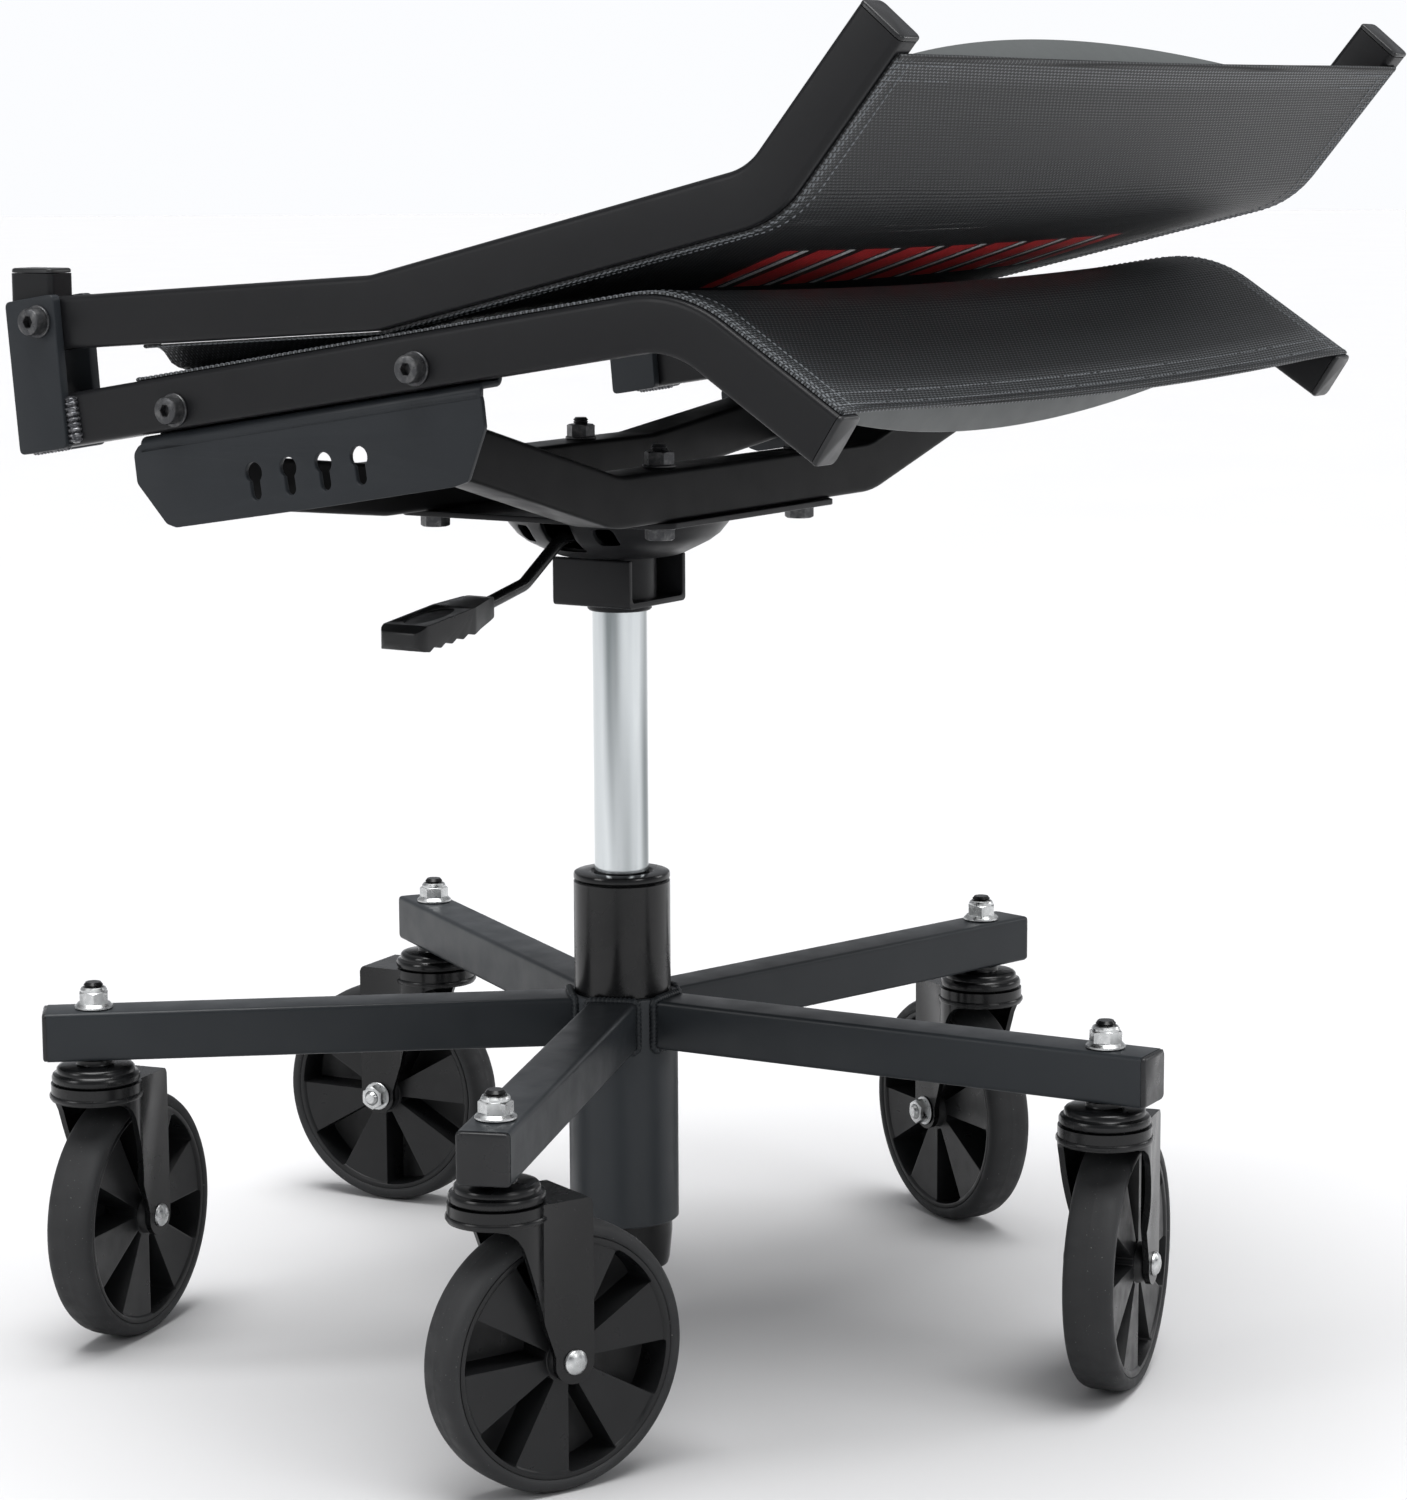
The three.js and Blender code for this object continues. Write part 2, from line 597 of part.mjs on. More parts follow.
function strapSolid(line, fromEnd, bow) {
  // a flat bar between the rails behind their front end, bowed away from the mesh
  const end = line.at(-1);
  const before = line.at(-2);
  const length = Math.hypot(end[0] - before[0], end[1] - before[1]);
  const along = [(end[0] - before[0]) / length, (end[1] - before[1]) / length];
  const away = [-along[1] * Math.sign(bow), along[0] * Math.sign(bow)];
  const reach = SEAT.outerX - SEAT.railThick - GAP;
  const steps = 12;
  const edge = (offset) => Array.from({ length: steps + 1 }, (_, k) => {
    const x = reach * (2 * k / steps - 1);
    return [x, Math.abs(bow) * (1 - (x / reach) ** 2) + offset];
  });
  const shape = [...edge(-STRAP.width / 2), ...edge(STRAP.width / 2).reverse()];
  const origin = [end[0] - along[0] * fromEnd, end[1] - along[1] * fromEnd];
  return mapped(prism(shape, -STRAP.thick / 2, STRAP.thick / 2), new THREE.Matrix4().set(
    1, 0, 0, 0,
    0, -away[0], -along[0], -origin[0],
    0, away[1], along[1], origin[1],
    0, 0, 0, 1));
}

function slingSolid(line, side, rounding, endGap) {
  // the stretched mesh, lying on one face of both rails
  const half = SEAT.railHeight / 2;
  const near = (half + GAP) * side;
  const far = (half + GAP + SEAT.slingThick) * side;
  const start = [SEAT.slingRear, 0];
  const f = (start[0] - line[0][0]) / (line[1][0] - line[0][0]);
  start[1] = line[0][1] + f * (line[1][1] - line[0][1]);
  const mid = extendLine([start, ...line.slice(1)], 0, -endGap);
  const outline = ribbon(mid, Math.min(near, far), Math.max(near, far), rounding, 8);
  return sideProfile(outline, -SEAT.outerX + 0.6, SEAT.outerX - 0.6);
}

function pair(name, geometry, material) {
  // every side piece is made for the left, +X, and mirrored for the right
  part(`${name}_left`, geometry, material);
  part(`${name}_right`, mapped(geometry, new THREE.Matrix4().makeScale(-1, 1, 1)), material);
}

function buildSeat() {
  const screwHoles = RAIL_SCREWS.map((at) => acrossAt(at, rod(4.6, 200, 300, 10)));
  pair('seat_rail', cut(railSolid(SEAT_LINE, SEAT.bendRadius, true), ...screwHoles), MAT.satin);
  pair('side_bracket', bracketSolid(), MAT.satin);
  pair('hinge_bracket', hingeSolid(), MAT.powder);
  pair('pivot_bolt', pivotBoltSolid(), MAT.satin);
  part('seat_strap', strapSolid(SEAT_LINE, 45, -STRAP.bow), MAT.powder);
  part('seat_sling', slingSolid(SEAT_LINE, 1, SEAT.bendRadius, 3), MAT.mesh);
}

function buildBack() {
  pair('back_rail', backRailSolid(), MAT.satin);
  part('back_strap', strapSolid(BACK_LINE, 42, STRAP.bow), MAT.powder);
  part('back_sling', slingSolid(BACK_LINE, -1, 40, 9), MAT.mesh);
}

buildBase();
buildCasters();
buildColumn();
buildHead();
buildSeat();
buildBack();

export default root;
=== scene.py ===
import json
import math
import random

import bmesh
import bpy
from mathutils import Matrix, Vector


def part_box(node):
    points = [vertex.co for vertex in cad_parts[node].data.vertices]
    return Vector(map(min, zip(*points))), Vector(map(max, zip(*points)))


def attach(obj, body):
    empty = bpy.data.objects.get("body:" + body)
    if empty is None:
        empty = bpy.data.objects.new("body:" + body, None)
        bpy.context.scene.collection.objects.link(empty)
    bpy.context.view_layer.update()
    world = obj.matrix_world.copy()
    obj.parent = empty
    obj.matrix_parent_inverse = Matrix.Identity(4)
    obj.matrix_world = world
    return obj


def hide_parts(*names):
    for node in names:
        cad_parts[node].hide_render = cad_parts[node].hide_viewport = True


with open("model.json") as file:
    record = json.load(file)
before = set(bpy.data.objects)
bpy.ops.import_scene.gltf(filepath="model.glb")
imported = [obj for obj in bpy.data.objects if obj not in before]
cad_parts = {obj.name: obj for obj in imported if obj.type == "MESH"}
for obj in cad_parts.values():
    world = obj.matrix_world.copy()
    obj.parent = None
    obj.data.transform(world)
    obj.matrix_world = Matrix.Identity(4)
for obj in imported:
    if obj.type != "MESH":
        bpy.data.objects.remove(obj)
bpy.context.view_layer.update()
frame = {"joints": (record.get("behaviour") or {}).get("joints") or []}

# A mechanics creeper seat. Shapes are worked out in millimetres in the CAD
# model's frame and turned into metres when a mesh is made. Side outlines run in
# [forward, up]: forward is -Y, measured from the column's axis.
MM = 0.001
TURN = 2 * math.pi

# ---- sizes that the CAD model has too -----------------------------------
RAIL = {"height": 25.0, "thick": 16.6, "outer_x": 259.0, "edge": 3.4, "plug": 2.4}
SEAT_LINE = [(-167, 483.1), (203.5, 542.7), (280.5, 492.7)]
BACK_LINE = [(-166, 531.6), (42.5, 545.9), (247, 595.1), (305.9, 666.1)]
SEAT_BEND, BACK_BEND = 55.0, 40.0
PIVOT = (-149.5, 534.0)
STUB = {"rear": -172.5, "front": -146.5, "low": 520.0, "top": 558.5}
HINGE_PLATE = [(-164, 470.3), (-134.6, 475), (-140.6, 547), (-170.8, 542.4)]
HINGE = {"thick": 5.4, "gap": 0.3}
BRACKET_FACE = [(-98, 478.5), (-100.4, 473), (-98.7, 459.2), (-81.3, 441), (-75.7, 439.6),
                (13.7, 453.6), (84.8, 465.6), (92.8, 468.1), (102.5, 492.5), (101.5, 509.0)]
KEYHOLES = [(-28.6, 467.2), (-8.4, 470.4), (11.9, 473.4), (32.3, 476.9)]
RAIL_SCREWS = [(-72.2, 494.7), (67.1, 517.7)]
SLING = {"thick": 0.9, "rear": -95.0, "hem": 12.0, "gap": 0.3, "settle": 1.6}
SEAM = {"rows": (1.6, 4.6, 13.0), "edge_step": 3.1, "hem_step": 3.4, "missed": 0.06}
STRAP = {"width": 16.0, "thick": 4.0, "bow": 35.0}
LEVER_PATH = [(-36, 421.5), (-52, 420), (-84, 400.4), (-127, 391.5)]
CARRIER = {"size": 25.4, "flat": 118.0, "end": 252.6, "y": 68.0, "middle": 447.0}
PLATE = {"half": 83.0, "low": 431.0, "top": 434.0, "bolt_x": 65.0, "bolt_y": 68.0}
CASTER = {"trail": 29.5, "radius": 64.5, "width": 25.2, "rim": 57.0, "rim_width": 23.6}


# ---- mesh helpers -------------------------------------------------------
def new_object(name, mesh, sharp=35):
    """An object for a mesh, smooth but for edges sharper than the angle."""
    obj = bpy.data.objects.new(name, mesh)
    bpy.context.scene.collection.objects.link(obj)
    mesh.shade_smooth()
    mesh.set_sharp_from_angle(angle=math.radians(sharp))
    return obj


def cleaned(mesh, merge=0.0):
    """The mesh with points nearer than merge made one and its faces outwards."""
    made = bmesh.new()
    made.from_mesh(mesh)
    if merge:
        bmesh.ops.remove_doubles(made, verts=made.verts, dist=merge)
    bmesh.ops.recalc_face_normals(made, faces=made.faces)
    made.to_mesh(mesh)
    made.free()
    return mesh


def mesh_from(name, verts, faces, merge=0.0):
    """A closed mesh from points in millimetres."""
    mesh = bpy.data.meshes.new(name)
    mesh.from_pydata([Vector(v) * MM for v in verts], [], faces)
    return cleaned(mesh, merge)


def moved(mesh, matrix):
    mesh.transform(matrix)
    if matrix.determinant() < 0:
        mesh.flip_normals()
    return mesh


def applied(obj):
    """The object with its modifiers worked into its mesh."""
    bpy.context.view_layer.update()
    seen = obj.evaluated_get(bpy.context.evaluated_depsgraph_get())
    mesh = bpy.data.meshes.new_from_object(seen)
    obj.modifiers.clear()
    obj.data = mesh
    return obj


def bevelled(obj, width, segments=2, angle=40):
    """Rounds every edge sharper than the angle; the width is in millimetres."""
    modifier = obj.modifiers.new("edges", "BEVEL")
    modifier.width = width * MM
    modifier.segments = segments
    modifier.limit_method = "ANGLE"
    modifier.angle_limit = math.radians(angle)
    modifier.use_clamp_overlap = True
    applied(obj)
    obj.data.shade_smooth()
    obj.data.set_sharp_from_angle(angle=math.radians(50))
    return obj


def combined(obj, others, operation):
    """Cuts the others from the object, or joins or keeps what they share."""
    for other in others:
        modifier = obj.modifiers.new("shape", "BOOLEAN")
        modifier.operation = operation
        modifier.solver = "EXACT"
        modifier.object = other
        applied(obj)
        bpy.data.objects.remove(other)
    return obj


def joined(name, parts, sharp=35):
    """One object from several, all of one material."""
    made = bmesh.new()
    for part in parts:
        copy = part.data.copy()
        copy.transform(part.matrix_world)
        made.from_mesh(copy)
        bpy.data.objects.remove(part)
    mesh = bpy.data.meshes.new(name)
    made.to_mesh(mesh)
    made.free()
    return new_object(name, mesh, sharp)


def lathe(name, profile, segments, sharp=35):
    """A [radius, height] outline turned about Z; radius 0 closes it."""
    verts, rings, faces = [], [], []
    for radius, z in profile:
        if radius < 1e-6:
            rings.append([len(verts)])
            verts.append((0, 0, z))
            continue
        rings.append(list(range(len(verts), len(verts) + segments)))
        for k in range(segments):
            angle = TURN * k / segments
            verts.append((radius * math.cos(angle), radius * math.sin(angle), z))
    for low, high in zip(rings, rings[1:]):
        for k in range(segments):
            n = (k + 1) % segments
            corners = [low[k % len(low)], low[n % len(low)], high[n % len(high)], high[k % len(high)]]
            face = list(dict.fromkeys(corners))
            if len(face) > 2:
                faces.append(face)
    return new_object(name, mesh_from(name, verts, faces, 1e-6), sharp)


def raised(profile, z):
    """A lathe profile whose heights are measured from z."""
    return [(radius, z + height) for radius, height in profile]


def round_corners(points, radius, steps=5):
    """A closed outline with each corner turned into an arc."""
    out = []
    count = len(points)
    for i, corner in enumerate(points):
        here = Vector(corner)
        before = (Vector(points[i - 1]) - here)
        after = (Vector(points[(i + 1) % count]) - here)
        half = before.angle(after) / 2
        reach = min(radius / math.tan(half), before.length * 0.45, after.length * 0.45)
        start = here + before.normalized() * reach
        end = here + after.normalized() * reach
        for k in range(steps + 1):
            t = k / steps
            a = start.lerp(here, t)
            b = here.lerp(end, t)
            out.append(tuple(a.lerp(b, t)))
    return out


def rounded_box(width, height, radius, steps=4):
    """A rounded rectangle about the origin."""
    w, h = width / 2, height / 2
    return round_corners([(w, -h), (w, h), (-w, h), (-w, -h)], radius, steps)


def bend_line(line, radius, steps=10):
    """Points and directions along a line whose corners are arcs."""
    pts = [Vector(p) for p in line]
    out = [pts[0]]
    for a, b, c in zip(pts, pts[1:], pts[2:]):
        first, second = (b - a).normalized(), (c - b).normalized()
        angle = first.angle(second)
        reach = radius * math.tan(angle / 2)
        start = b - first * reach
        side = 1 if first.x * second.y - first.y * second.x > 0 else -1
        middle = start + Vector((-first.y, first.x)) * radius * side
        base = start - middle
        for k in range(steps + 1):
            turn = angle * side * k / steps
            out.append(middle + Matrix.Rotation(turn, 2) @ base)
    out.append(pts[-1])
    ways = []
    for i in range(len(out)):
        a, b = out[max(i - 1, 0)], out[min(i + 1, len(out) - 1)]
        ways.append((b - a).normalized())
    return list(zip(out, ways))


def sweep(name, outline, places, sharp=35, closed=False):
    """An outline carried through places; a place turns (u, v) into a point."""
    count = len(outline)
    verts = [place(u, v) for place in places for u, v in outline]
    faces = []
    stops = len(places)
    for i in range(stops if closed else stops - 1):
        a, b = i * count, (i + 1) % stops * count
        for k in range(count):
            n = (k + 1) % count
            faces.append([a + k, a + n, b + n, b + k])
    if not closed:
        faces.append(list(range(count))[::-1])
        faces.append(list(range((stops - 1) * count, stops * count)))
    return new_object(name, mesh_from(name, verts, faces), sharp)


def side_places(path, x):
    """Places along a side-view path: u runs across, v square to the path."""
    def place(point, way):
        return lambda u, v: (x + u, -(point.x - way.y * v), point.y + way.x * v)
    return [place(p, w) for p, w in path]


def front_places(path, y):
    """Places along a path seen from the front, in [x, up]."""
    def place(point, way):
        return lambda u, v: (point.x - way.y * v, y + u, point.y + way.x * v)
    return [place(p, w) for p, w in path]


def level_places(heights):
    """Places square to Z, one at each height."""
    def place(z):
        return lambda u, v: (u, v, z)
    return [place(z) for z in heights]


def space_places(points, closed=False):
    """Places along any line in space, without twist."""
    pts = [Vector(p) for p in points]
    count = len(pts)
    ways = []
    for i in range(count):
        after = (i + 1) % count if closed else min(i + 1, count - 1)
        before = i - 1 if closed else max(i - 1, 0)
        ways.append((pts[after] - pts[before]).normalized())
    side = ways[0].orthogonal().normalized()
    out = []
    for point, way in zip(pts, ways):
        side = (side - way * side.dot(way)).normalized()
        up = way.cross(side)
        out.append((lambda p, s, t: lambda u, v: tuple(p + s * u + t * v))(point, side, up))
    return out


def circle(radius, steps):
    return [(radius * math.cos(TURN * k / steps), radius * math.sin(TURN * k / steps))
            for k in range(steps)]


def weld_bead(name, points, radius, closed=False, ripple=2.2):
    """A bead of overlapping scales along a line."""
    dense = []
    pts = [Vector(p) for p in points]
    ends = pts[1:] + (pts[:1] if closed else [])
    for a, b in zip(pts, ends):
        steps = max(2, int((b - a).length / 0.55))
        dense += [a.lerp(b, k / steps) for k in range(steps)]
    if not closed:
        dense.append(pts[-1])
    places = space_places(dense, closed)
    run, sized = 0.0, []
    for i, place in enumerate(places):
        run += (dense[i] - dense[i - 1]).length if i else 0
        swell = 0.74 + 0.34 * abs(math.sin(math.pi * run / ripple))
        if not closed:
            swell *= min(1, 0.35 + 0.25 * min(i, len(places) - 1 - i))
        sized.append((lambda f, s: lambda u, v: f(u * s, v * s))(place, swell))
    return sweep(name, circle(radius, 10), sized, 80, closed)


def plate(name, loops, thick, edge):
    """A flat sheet from an outline and its holes, lying in XY about z 0."""
    curve = bpy.data.curves.new(name, "CURVE")
    curve.dimensions = "2D"
    curve.fill_mode = "BOTH"
    curve.extrude = (thick / 2 - edge) * MM
    curve.bevel_depth = edge * MM
    curve.bevel_resolution = 2
    curve.offset = -edge * MM
    for loop in loops:
        spline = curve.splines.new("POLY")
        spline.points.add(len(loop) - 1)
        for point, (x, y) in zip(spline.points, loop):
            point.co = (x * MM, y * MM, 0, 1)
        spline.use_cyclic_u = True
    holder = bpy.data.objects.new(name, curve)
    bpy.context.scene.collection.objects.link(holder)
    bpy.context.view_layer.update()
    seen = holder.evaluated_get(bpy.context.evaluated_depsgraph_get())
    mesh = bpy.data.meshes.new_from_object(seen)
    bpy.data.objects.remove(holder)
    return new_object(name, cleaned(mesh, 2e-6), 40)


SIDE = Matrix(((0, 0, 1, 0), (-1, 0, 0, 0), (0, 1, 0, 0), (0, 0, 0, 1)))
FRONT = Matrix(((1, 0, 0, 0), (0, 0, -1, 0), (0, 1, 0, 0), (0, 0, 0, 1)))


def shift(x=0.0, y=0.0, z=0.0):
    return Matrix.Translation(Vector((x, y, z)) * MM)


def upright(obj, view, matrix=Matrix.Identity(4)):
    """Stands a flat sheet up in the side or front view, then moves it."""
    moved(obj.data, matrix @ view)
    return obj


# ---- materials ----------------------------------------------------------
def socket(node, name, value):
    node.inputs[name].default_value = value


class Paint:
    """A Principled material and short ways to add detail to it."""

    def __init__(self, name, color, rough, metal=0.0, **more):
        self.material = bpy.data.materials.new(name)
        self.material.use_nodes = True
        self.tree = self.material.node_tree
        self.shader = self.tree.nodes["Principled BSDF"]
        self.color = (*color, 1)
        socket(self.shader, "Base Color", self.color)
        socket(self.shader, "Roughness", rough)
        socket(self.shader, "Metallic", metal)
        for key, value in more.items():
            socket(self.shader, key.replace("_", " "), value)
        self.place = self.new("TexCoord").outputs["Object"]

    def new(self, kind, **values):
        node = self.tree.nodes.new(f"ShaderNode{kind}")
        for name, value in values.items():
            socket(node, name.replace("_", " "), value)
        return node

    def link(self, a, b):
        self.tree.links.new(a, b)

    def noise(self, scale, detail=3.0, rough=0.5, place=None):
        node = self.new("TexNoise", Scale=scale, Detail=detail, Roughness=rough)
        self.link(place or self.place, node.inputs["Vector"])
        return node.outputs["Fac"]

    def stretch(self, factors):
        node = self.new("Mapping", Scale=factors)
        self.link(self.place, node.inputs["Vector"])
        return node.outputs["Vector"]

    def span(self, value, low, high, start=0.0, end=1.0):
        node = self.new("MapRange", From_Min=low, From_Max=high, To_Min=start, To_Max=end)
        self.link(value, node.inputs["Value"])
        return node.outputs["Result"]

    def math(self, kind, a, b=None):
        node = self.new("Math")
        node.operation = kind
        for index, value in enumerate((a, b)):
            if isinstance(value, (int, float)):
                socket(node, index, value)
            elif value is not None:
                self.link(value, node.inputs[index])
        return node.outputs["Value"]

    def times(self, a, b):
        return self.math("MULTIPLY", a, b)

    def less(self, a, b):
        return self.math("SUBTRACT", a, b)

    def over(self, a, b):
        return self.math("GREATER_THAN", a, b)

    def mix(self, share, color, base=None):
        node = self.new("Mix")
        node.data_type = "RGBA"
        self.link(share, node.inputs["Factor"])
        if base is None:
            socket(node, 6, self.color)
        else:
            self.link(base, node.inputs[6])
        socket(node, 7, (*color, 1))
        return node.outputs[2]

    def tint(self, color_output):
        self.link(color_output, self.shader.inputs["Base Color"])

    def rough(self, value):
        self.link(value, self.shader.inputs["Roughness"])

    def bump(self, value, depth, strength=1.0):
        node = self.new("Bump", Strength=strength, Distance=depth * MM)
        self.link(value, node.inputs["Height"])
        self.link(node.outputs["Normal"], self.shader.inputs["Normal"])


def powder(name, color, rough, grain, dust, shine=0.18):
    """Powder coat: a fine orange peel, faint dust and scuffs."""
    paint = Paint(name, color, rough, 0.0, Specular_IOR_Level=shine)
    cloud = paint.noise(9, 4, 0.6)
    specks = paint.span(paint.noise(1300, 2), 0.74, 0.8)
    light = tuple(min(1, c * 1.4 + 0.004) for c in color)
    toned = paint.mix(paint.span(cloud, 0.35, 0.75, 0, dust), light)
    paint.tint(paint.mix(paint.times(specks, 0.3), (0.07, 0.07, 0.07), toned))
    paint.rough(paint.span(paint.noise(60, 4), 0.3, 0.7, rough - 0.05, rough + 0.06))
    paint.bump(paint.noise(grain, 2), 0.06, 0.3)
    return paint.material


def enamel():
    paint = Paint("gloss_enamel", (0.004, 0.0042, 0.0046), 0.2, 0.0, Specular_IOR_Level=0.34)
    paint.rough(paint.span(paint.noise(35, 4), 0.3, 0.7, 0.16, 0.33))
    dust = paint.span(paint.noise(900, 3), 0.7, 0.8, 0, 0.35)
    paint.tint(paint.mix(dust, (0.1, 0.1, 0.1)))
    paint.bump(paint.noise(140, 2), 0.08, 0.3)
    return paint.material


def chrome():
    """Bright polished plating; long bands down the rod are painted darker into its colour, a painted
    reflection.
    """
    paint = Paint("polished_chrome", (0.62, 0.65, 0.66), 0.1, 1.0)
    reflection_bands = paint.noise(70, 2, 0.4, paint.stretch((1, 1, 0.04)))
    # dark bands in the plating's colour: painted reflection
    paint.tint(paint.mix(paint.span(reflection_bands, 0.38, 0.6), (0.2, 0.22, 0.225)))
    paint.rough(paint.span(paint.noise(400, 4, 0.6, paint.stretch((1, 1, 0.1))), 0.3, 0.7, 0.08, 0.18))
    paint.bump(paint.noise(60, 2, 0.5, paint.stretch((1, 1, 30))), 0.02, 0.15)
    return paint.material


def zinc():
    paint = Paint("zinc_plating", (0.62, 0.63, 0.63), 0.3, 1.0)
    cloud = paint.noise(160, 4)
    paint.tint(paint.mix(paint.span(cloud, 0.35, 0.7), (0.42, 0.43, 0.43)))
    paint.rough(paint.span(paint.noise(420, 3), 0.3, 0.7, 0.2, 0.46))
    paint.bump(paint.noise(700, 2), 0.05, 0.3)
    return paint.material


def black_oxide():
    paint = Paint("black_oxide_steel", (0.05, 0.051, 0.054), 0.34, 0.7)
    paint.tint(paint.mix(paint.span(paint.noise(320, 3), 0.45, 0.75), (0.12, 0.12, 0.12)))
    paint.rough(paint.span(paint.noise(500, 3), 0.3, 0.7, 0.26, 0.48))
    paint.bump(paint.noise(900, 2), 0.04, 0.3)
    return paint.material


def bare_weld():
    paint = Paint("painted_weld", (0.05, 0.052, 0.058), 0.2, 0.6)
    paint.tint(paint.mix(paint.span(paint.noise(500, 3), 0.45, 0.65), (0.2, 0.2, 0.21)))
    paint.bump(paint.noise(900, 3), 0.25, 0.6)
    return paint.material


def moulded(name, color, rough):
    paint = Paint(name, color, rough, 0.0, Specular_IOR_Level=0.28)
    paint.tint(paint.mix(paint.span(paint.noise(22, 4), 0.45, 0.8, 0, 0.5),
                         tuple(c * 1.5 + 0.006 for c in color)))
    paint.rough(paint.span(paint.noise(90, 3), 0.3, 0.7, rough - 0.08, rough + 0.1))
    paint.bump(paint.noise(1500, 2), 0.05, 0.5)
    return paint.material


def tyre_rubber():
    paint = Paint("dusty_rubber", (0.021, 0.0215, 0.0225), 0.6, 0.0, Specular_IOR_Level=0.25)
    cloud = paint.mix(paint.span(paint.noise(30, 5, 0.6), 0.4, 0.75, 0, 0.6), (0.036, 0.037, 0.038))
    dots = paint.span(paint.noise(900, 2), 0.72, 0.78, 0, 0.6)
    paint.tint(paint.mix(dots, (0.3, 0.3, 0.29), cloud))
    paint.rough(paint.span(paint.noise(120, 3), 0.3, 0.7, 0.5, 0.75))
    paint.bump(paint.noise(800, 3), 0.1, 0.5)
    return paint.material


# Metres: half the single layer's width, the hem's depth and half the sling's
# width. The gap is the height, of 1, below which two strands leave a hole.
WEAVE = {"single": 0.232, "hem": 0.03, "edge": 0.257, "gap": 0.36}


def weave(name, printed, run, thread):
    """Vinyl-coated mesh: strands crossing over and under each other."""
    pitch = 1.6 * MM
    paint = Paint(name, (0.004, 0.0045, 0.005), 0.42, 0.0, Specular_IOR_Level=0.4)
    uv = paint.new("UVMap")
    uv.uv_map = "cloth"
    split = paint.new("SeparateXYZ")
    paint.link(uv.outputs["UV"], split.inputs["Vector"])
    u, v = split.outputs["X"], split.outputs["Y"]
    wave_u = paint.math("SINE", paint.times(u, math.pi / pitch))
    wave_v = paint.math("SINE", paint.times(v, math.pi / pitch))
    over = paint.over(paint.times(wave_u, wave_v), 0.0)
    tall_u, tall_v = paint.math("ABSOLUTE", wave_u), paint.math("ABSOLUTE", wave_v)
    lifted = paint.times(paint.times(over, tall_u), tall_v)
    under = paint.times(paint.less(1.0, over), paint.times(tall_v, 0.45))
    height = paint.math("ADD", lifted, under)
    # strand tops take the thread colour and the low crossings go near black: painted shade between the
    # strands
    painted_strand_shade = paint.span(height, 0.25, 0.95, 0, 1.0)
    patch = paint.span(paint.noise(7, 4), 0.3, 0.7, 0.7, 1.0)
    color = paint.mix(paint.times(painted_strand_shade, patch), thread)
    # the single layer between the double edges and hems is open between its strands
    aside = paint.math("ABSOLUTE", u)
    to_hem = paint.math("MINIMUM", v, paint.less(run, v))
    inside = paint.math("MINIMUM", paint.less(WEAVE["single"], aside), paint.less(to_hem, WEAVE["hem"]))
    gap = paint.over(WEAVE["gap"], paint.math("MAXIMUM", tall_u, tall_v))
    hole = paint.times(gap, paint.over(inside, 0.0))
    paint.link(paint.less(1.0, hole), paint.shader.inputs["Alpha"])
    # the strands along the outer edges and hems are painted lighter: a painted highlight, not their own
    # colour
    to_edge = paint.math("MINIMUM", paint.less(WEAVE["edge"], aside), to_hem)
    rim = paint.times(paint.span(to_edge, 0.008, 0.014, 0.75, 0.0), painted_strand_shade)
    color = paint.mix(rim, (0.17, 0.18, 0.19), color)
    if printed:
        color = printed_bars(paint, u, v, color)
    paint.tint(color)
    paint.rough(paint.span(height, 0.1, 0.9, 0.62, 0.34))
    paint.bump(height, 0.35, 0.7)
    return paint.material


def printed_bars(paint, u, v, base):
    """A plain decoration: a row of slanted bars, red with a pale edge."""
    def between(value, low, high):
        return paint.times(paint.over(value, low), paint.over(high, value))

    slant = paint.math("ADD", u, paint.times(v, PRINT["lean"]))
    phase = paint.math("FRACT", paint.times(slant, 1 / PRINT["pitch"]))
    area = paint.times(between(v, *PRINT["v"]), between(slant, *PRINT["u"]))
    area = paint.times(area, paint.span(paint.noise(600, 3), 0.3, 0.5, 0.6, 1.0))
    red = paint.times(area, paint.over(0.58, phase))
    pale = paint.times(area, between(phase, 0.66, 0.8))
    return paint.mix(pale, (0.85, 0.85, 0.85), paint.mix(red, (0.75, 0.045, 0.05), base))


# Metres: u across from the middle, v along from the rear hem.
PRINT = {"u": (0.012, 0.34), "v": (0.222, 0.3), "lean": 0.6, "pitch": 0.041}

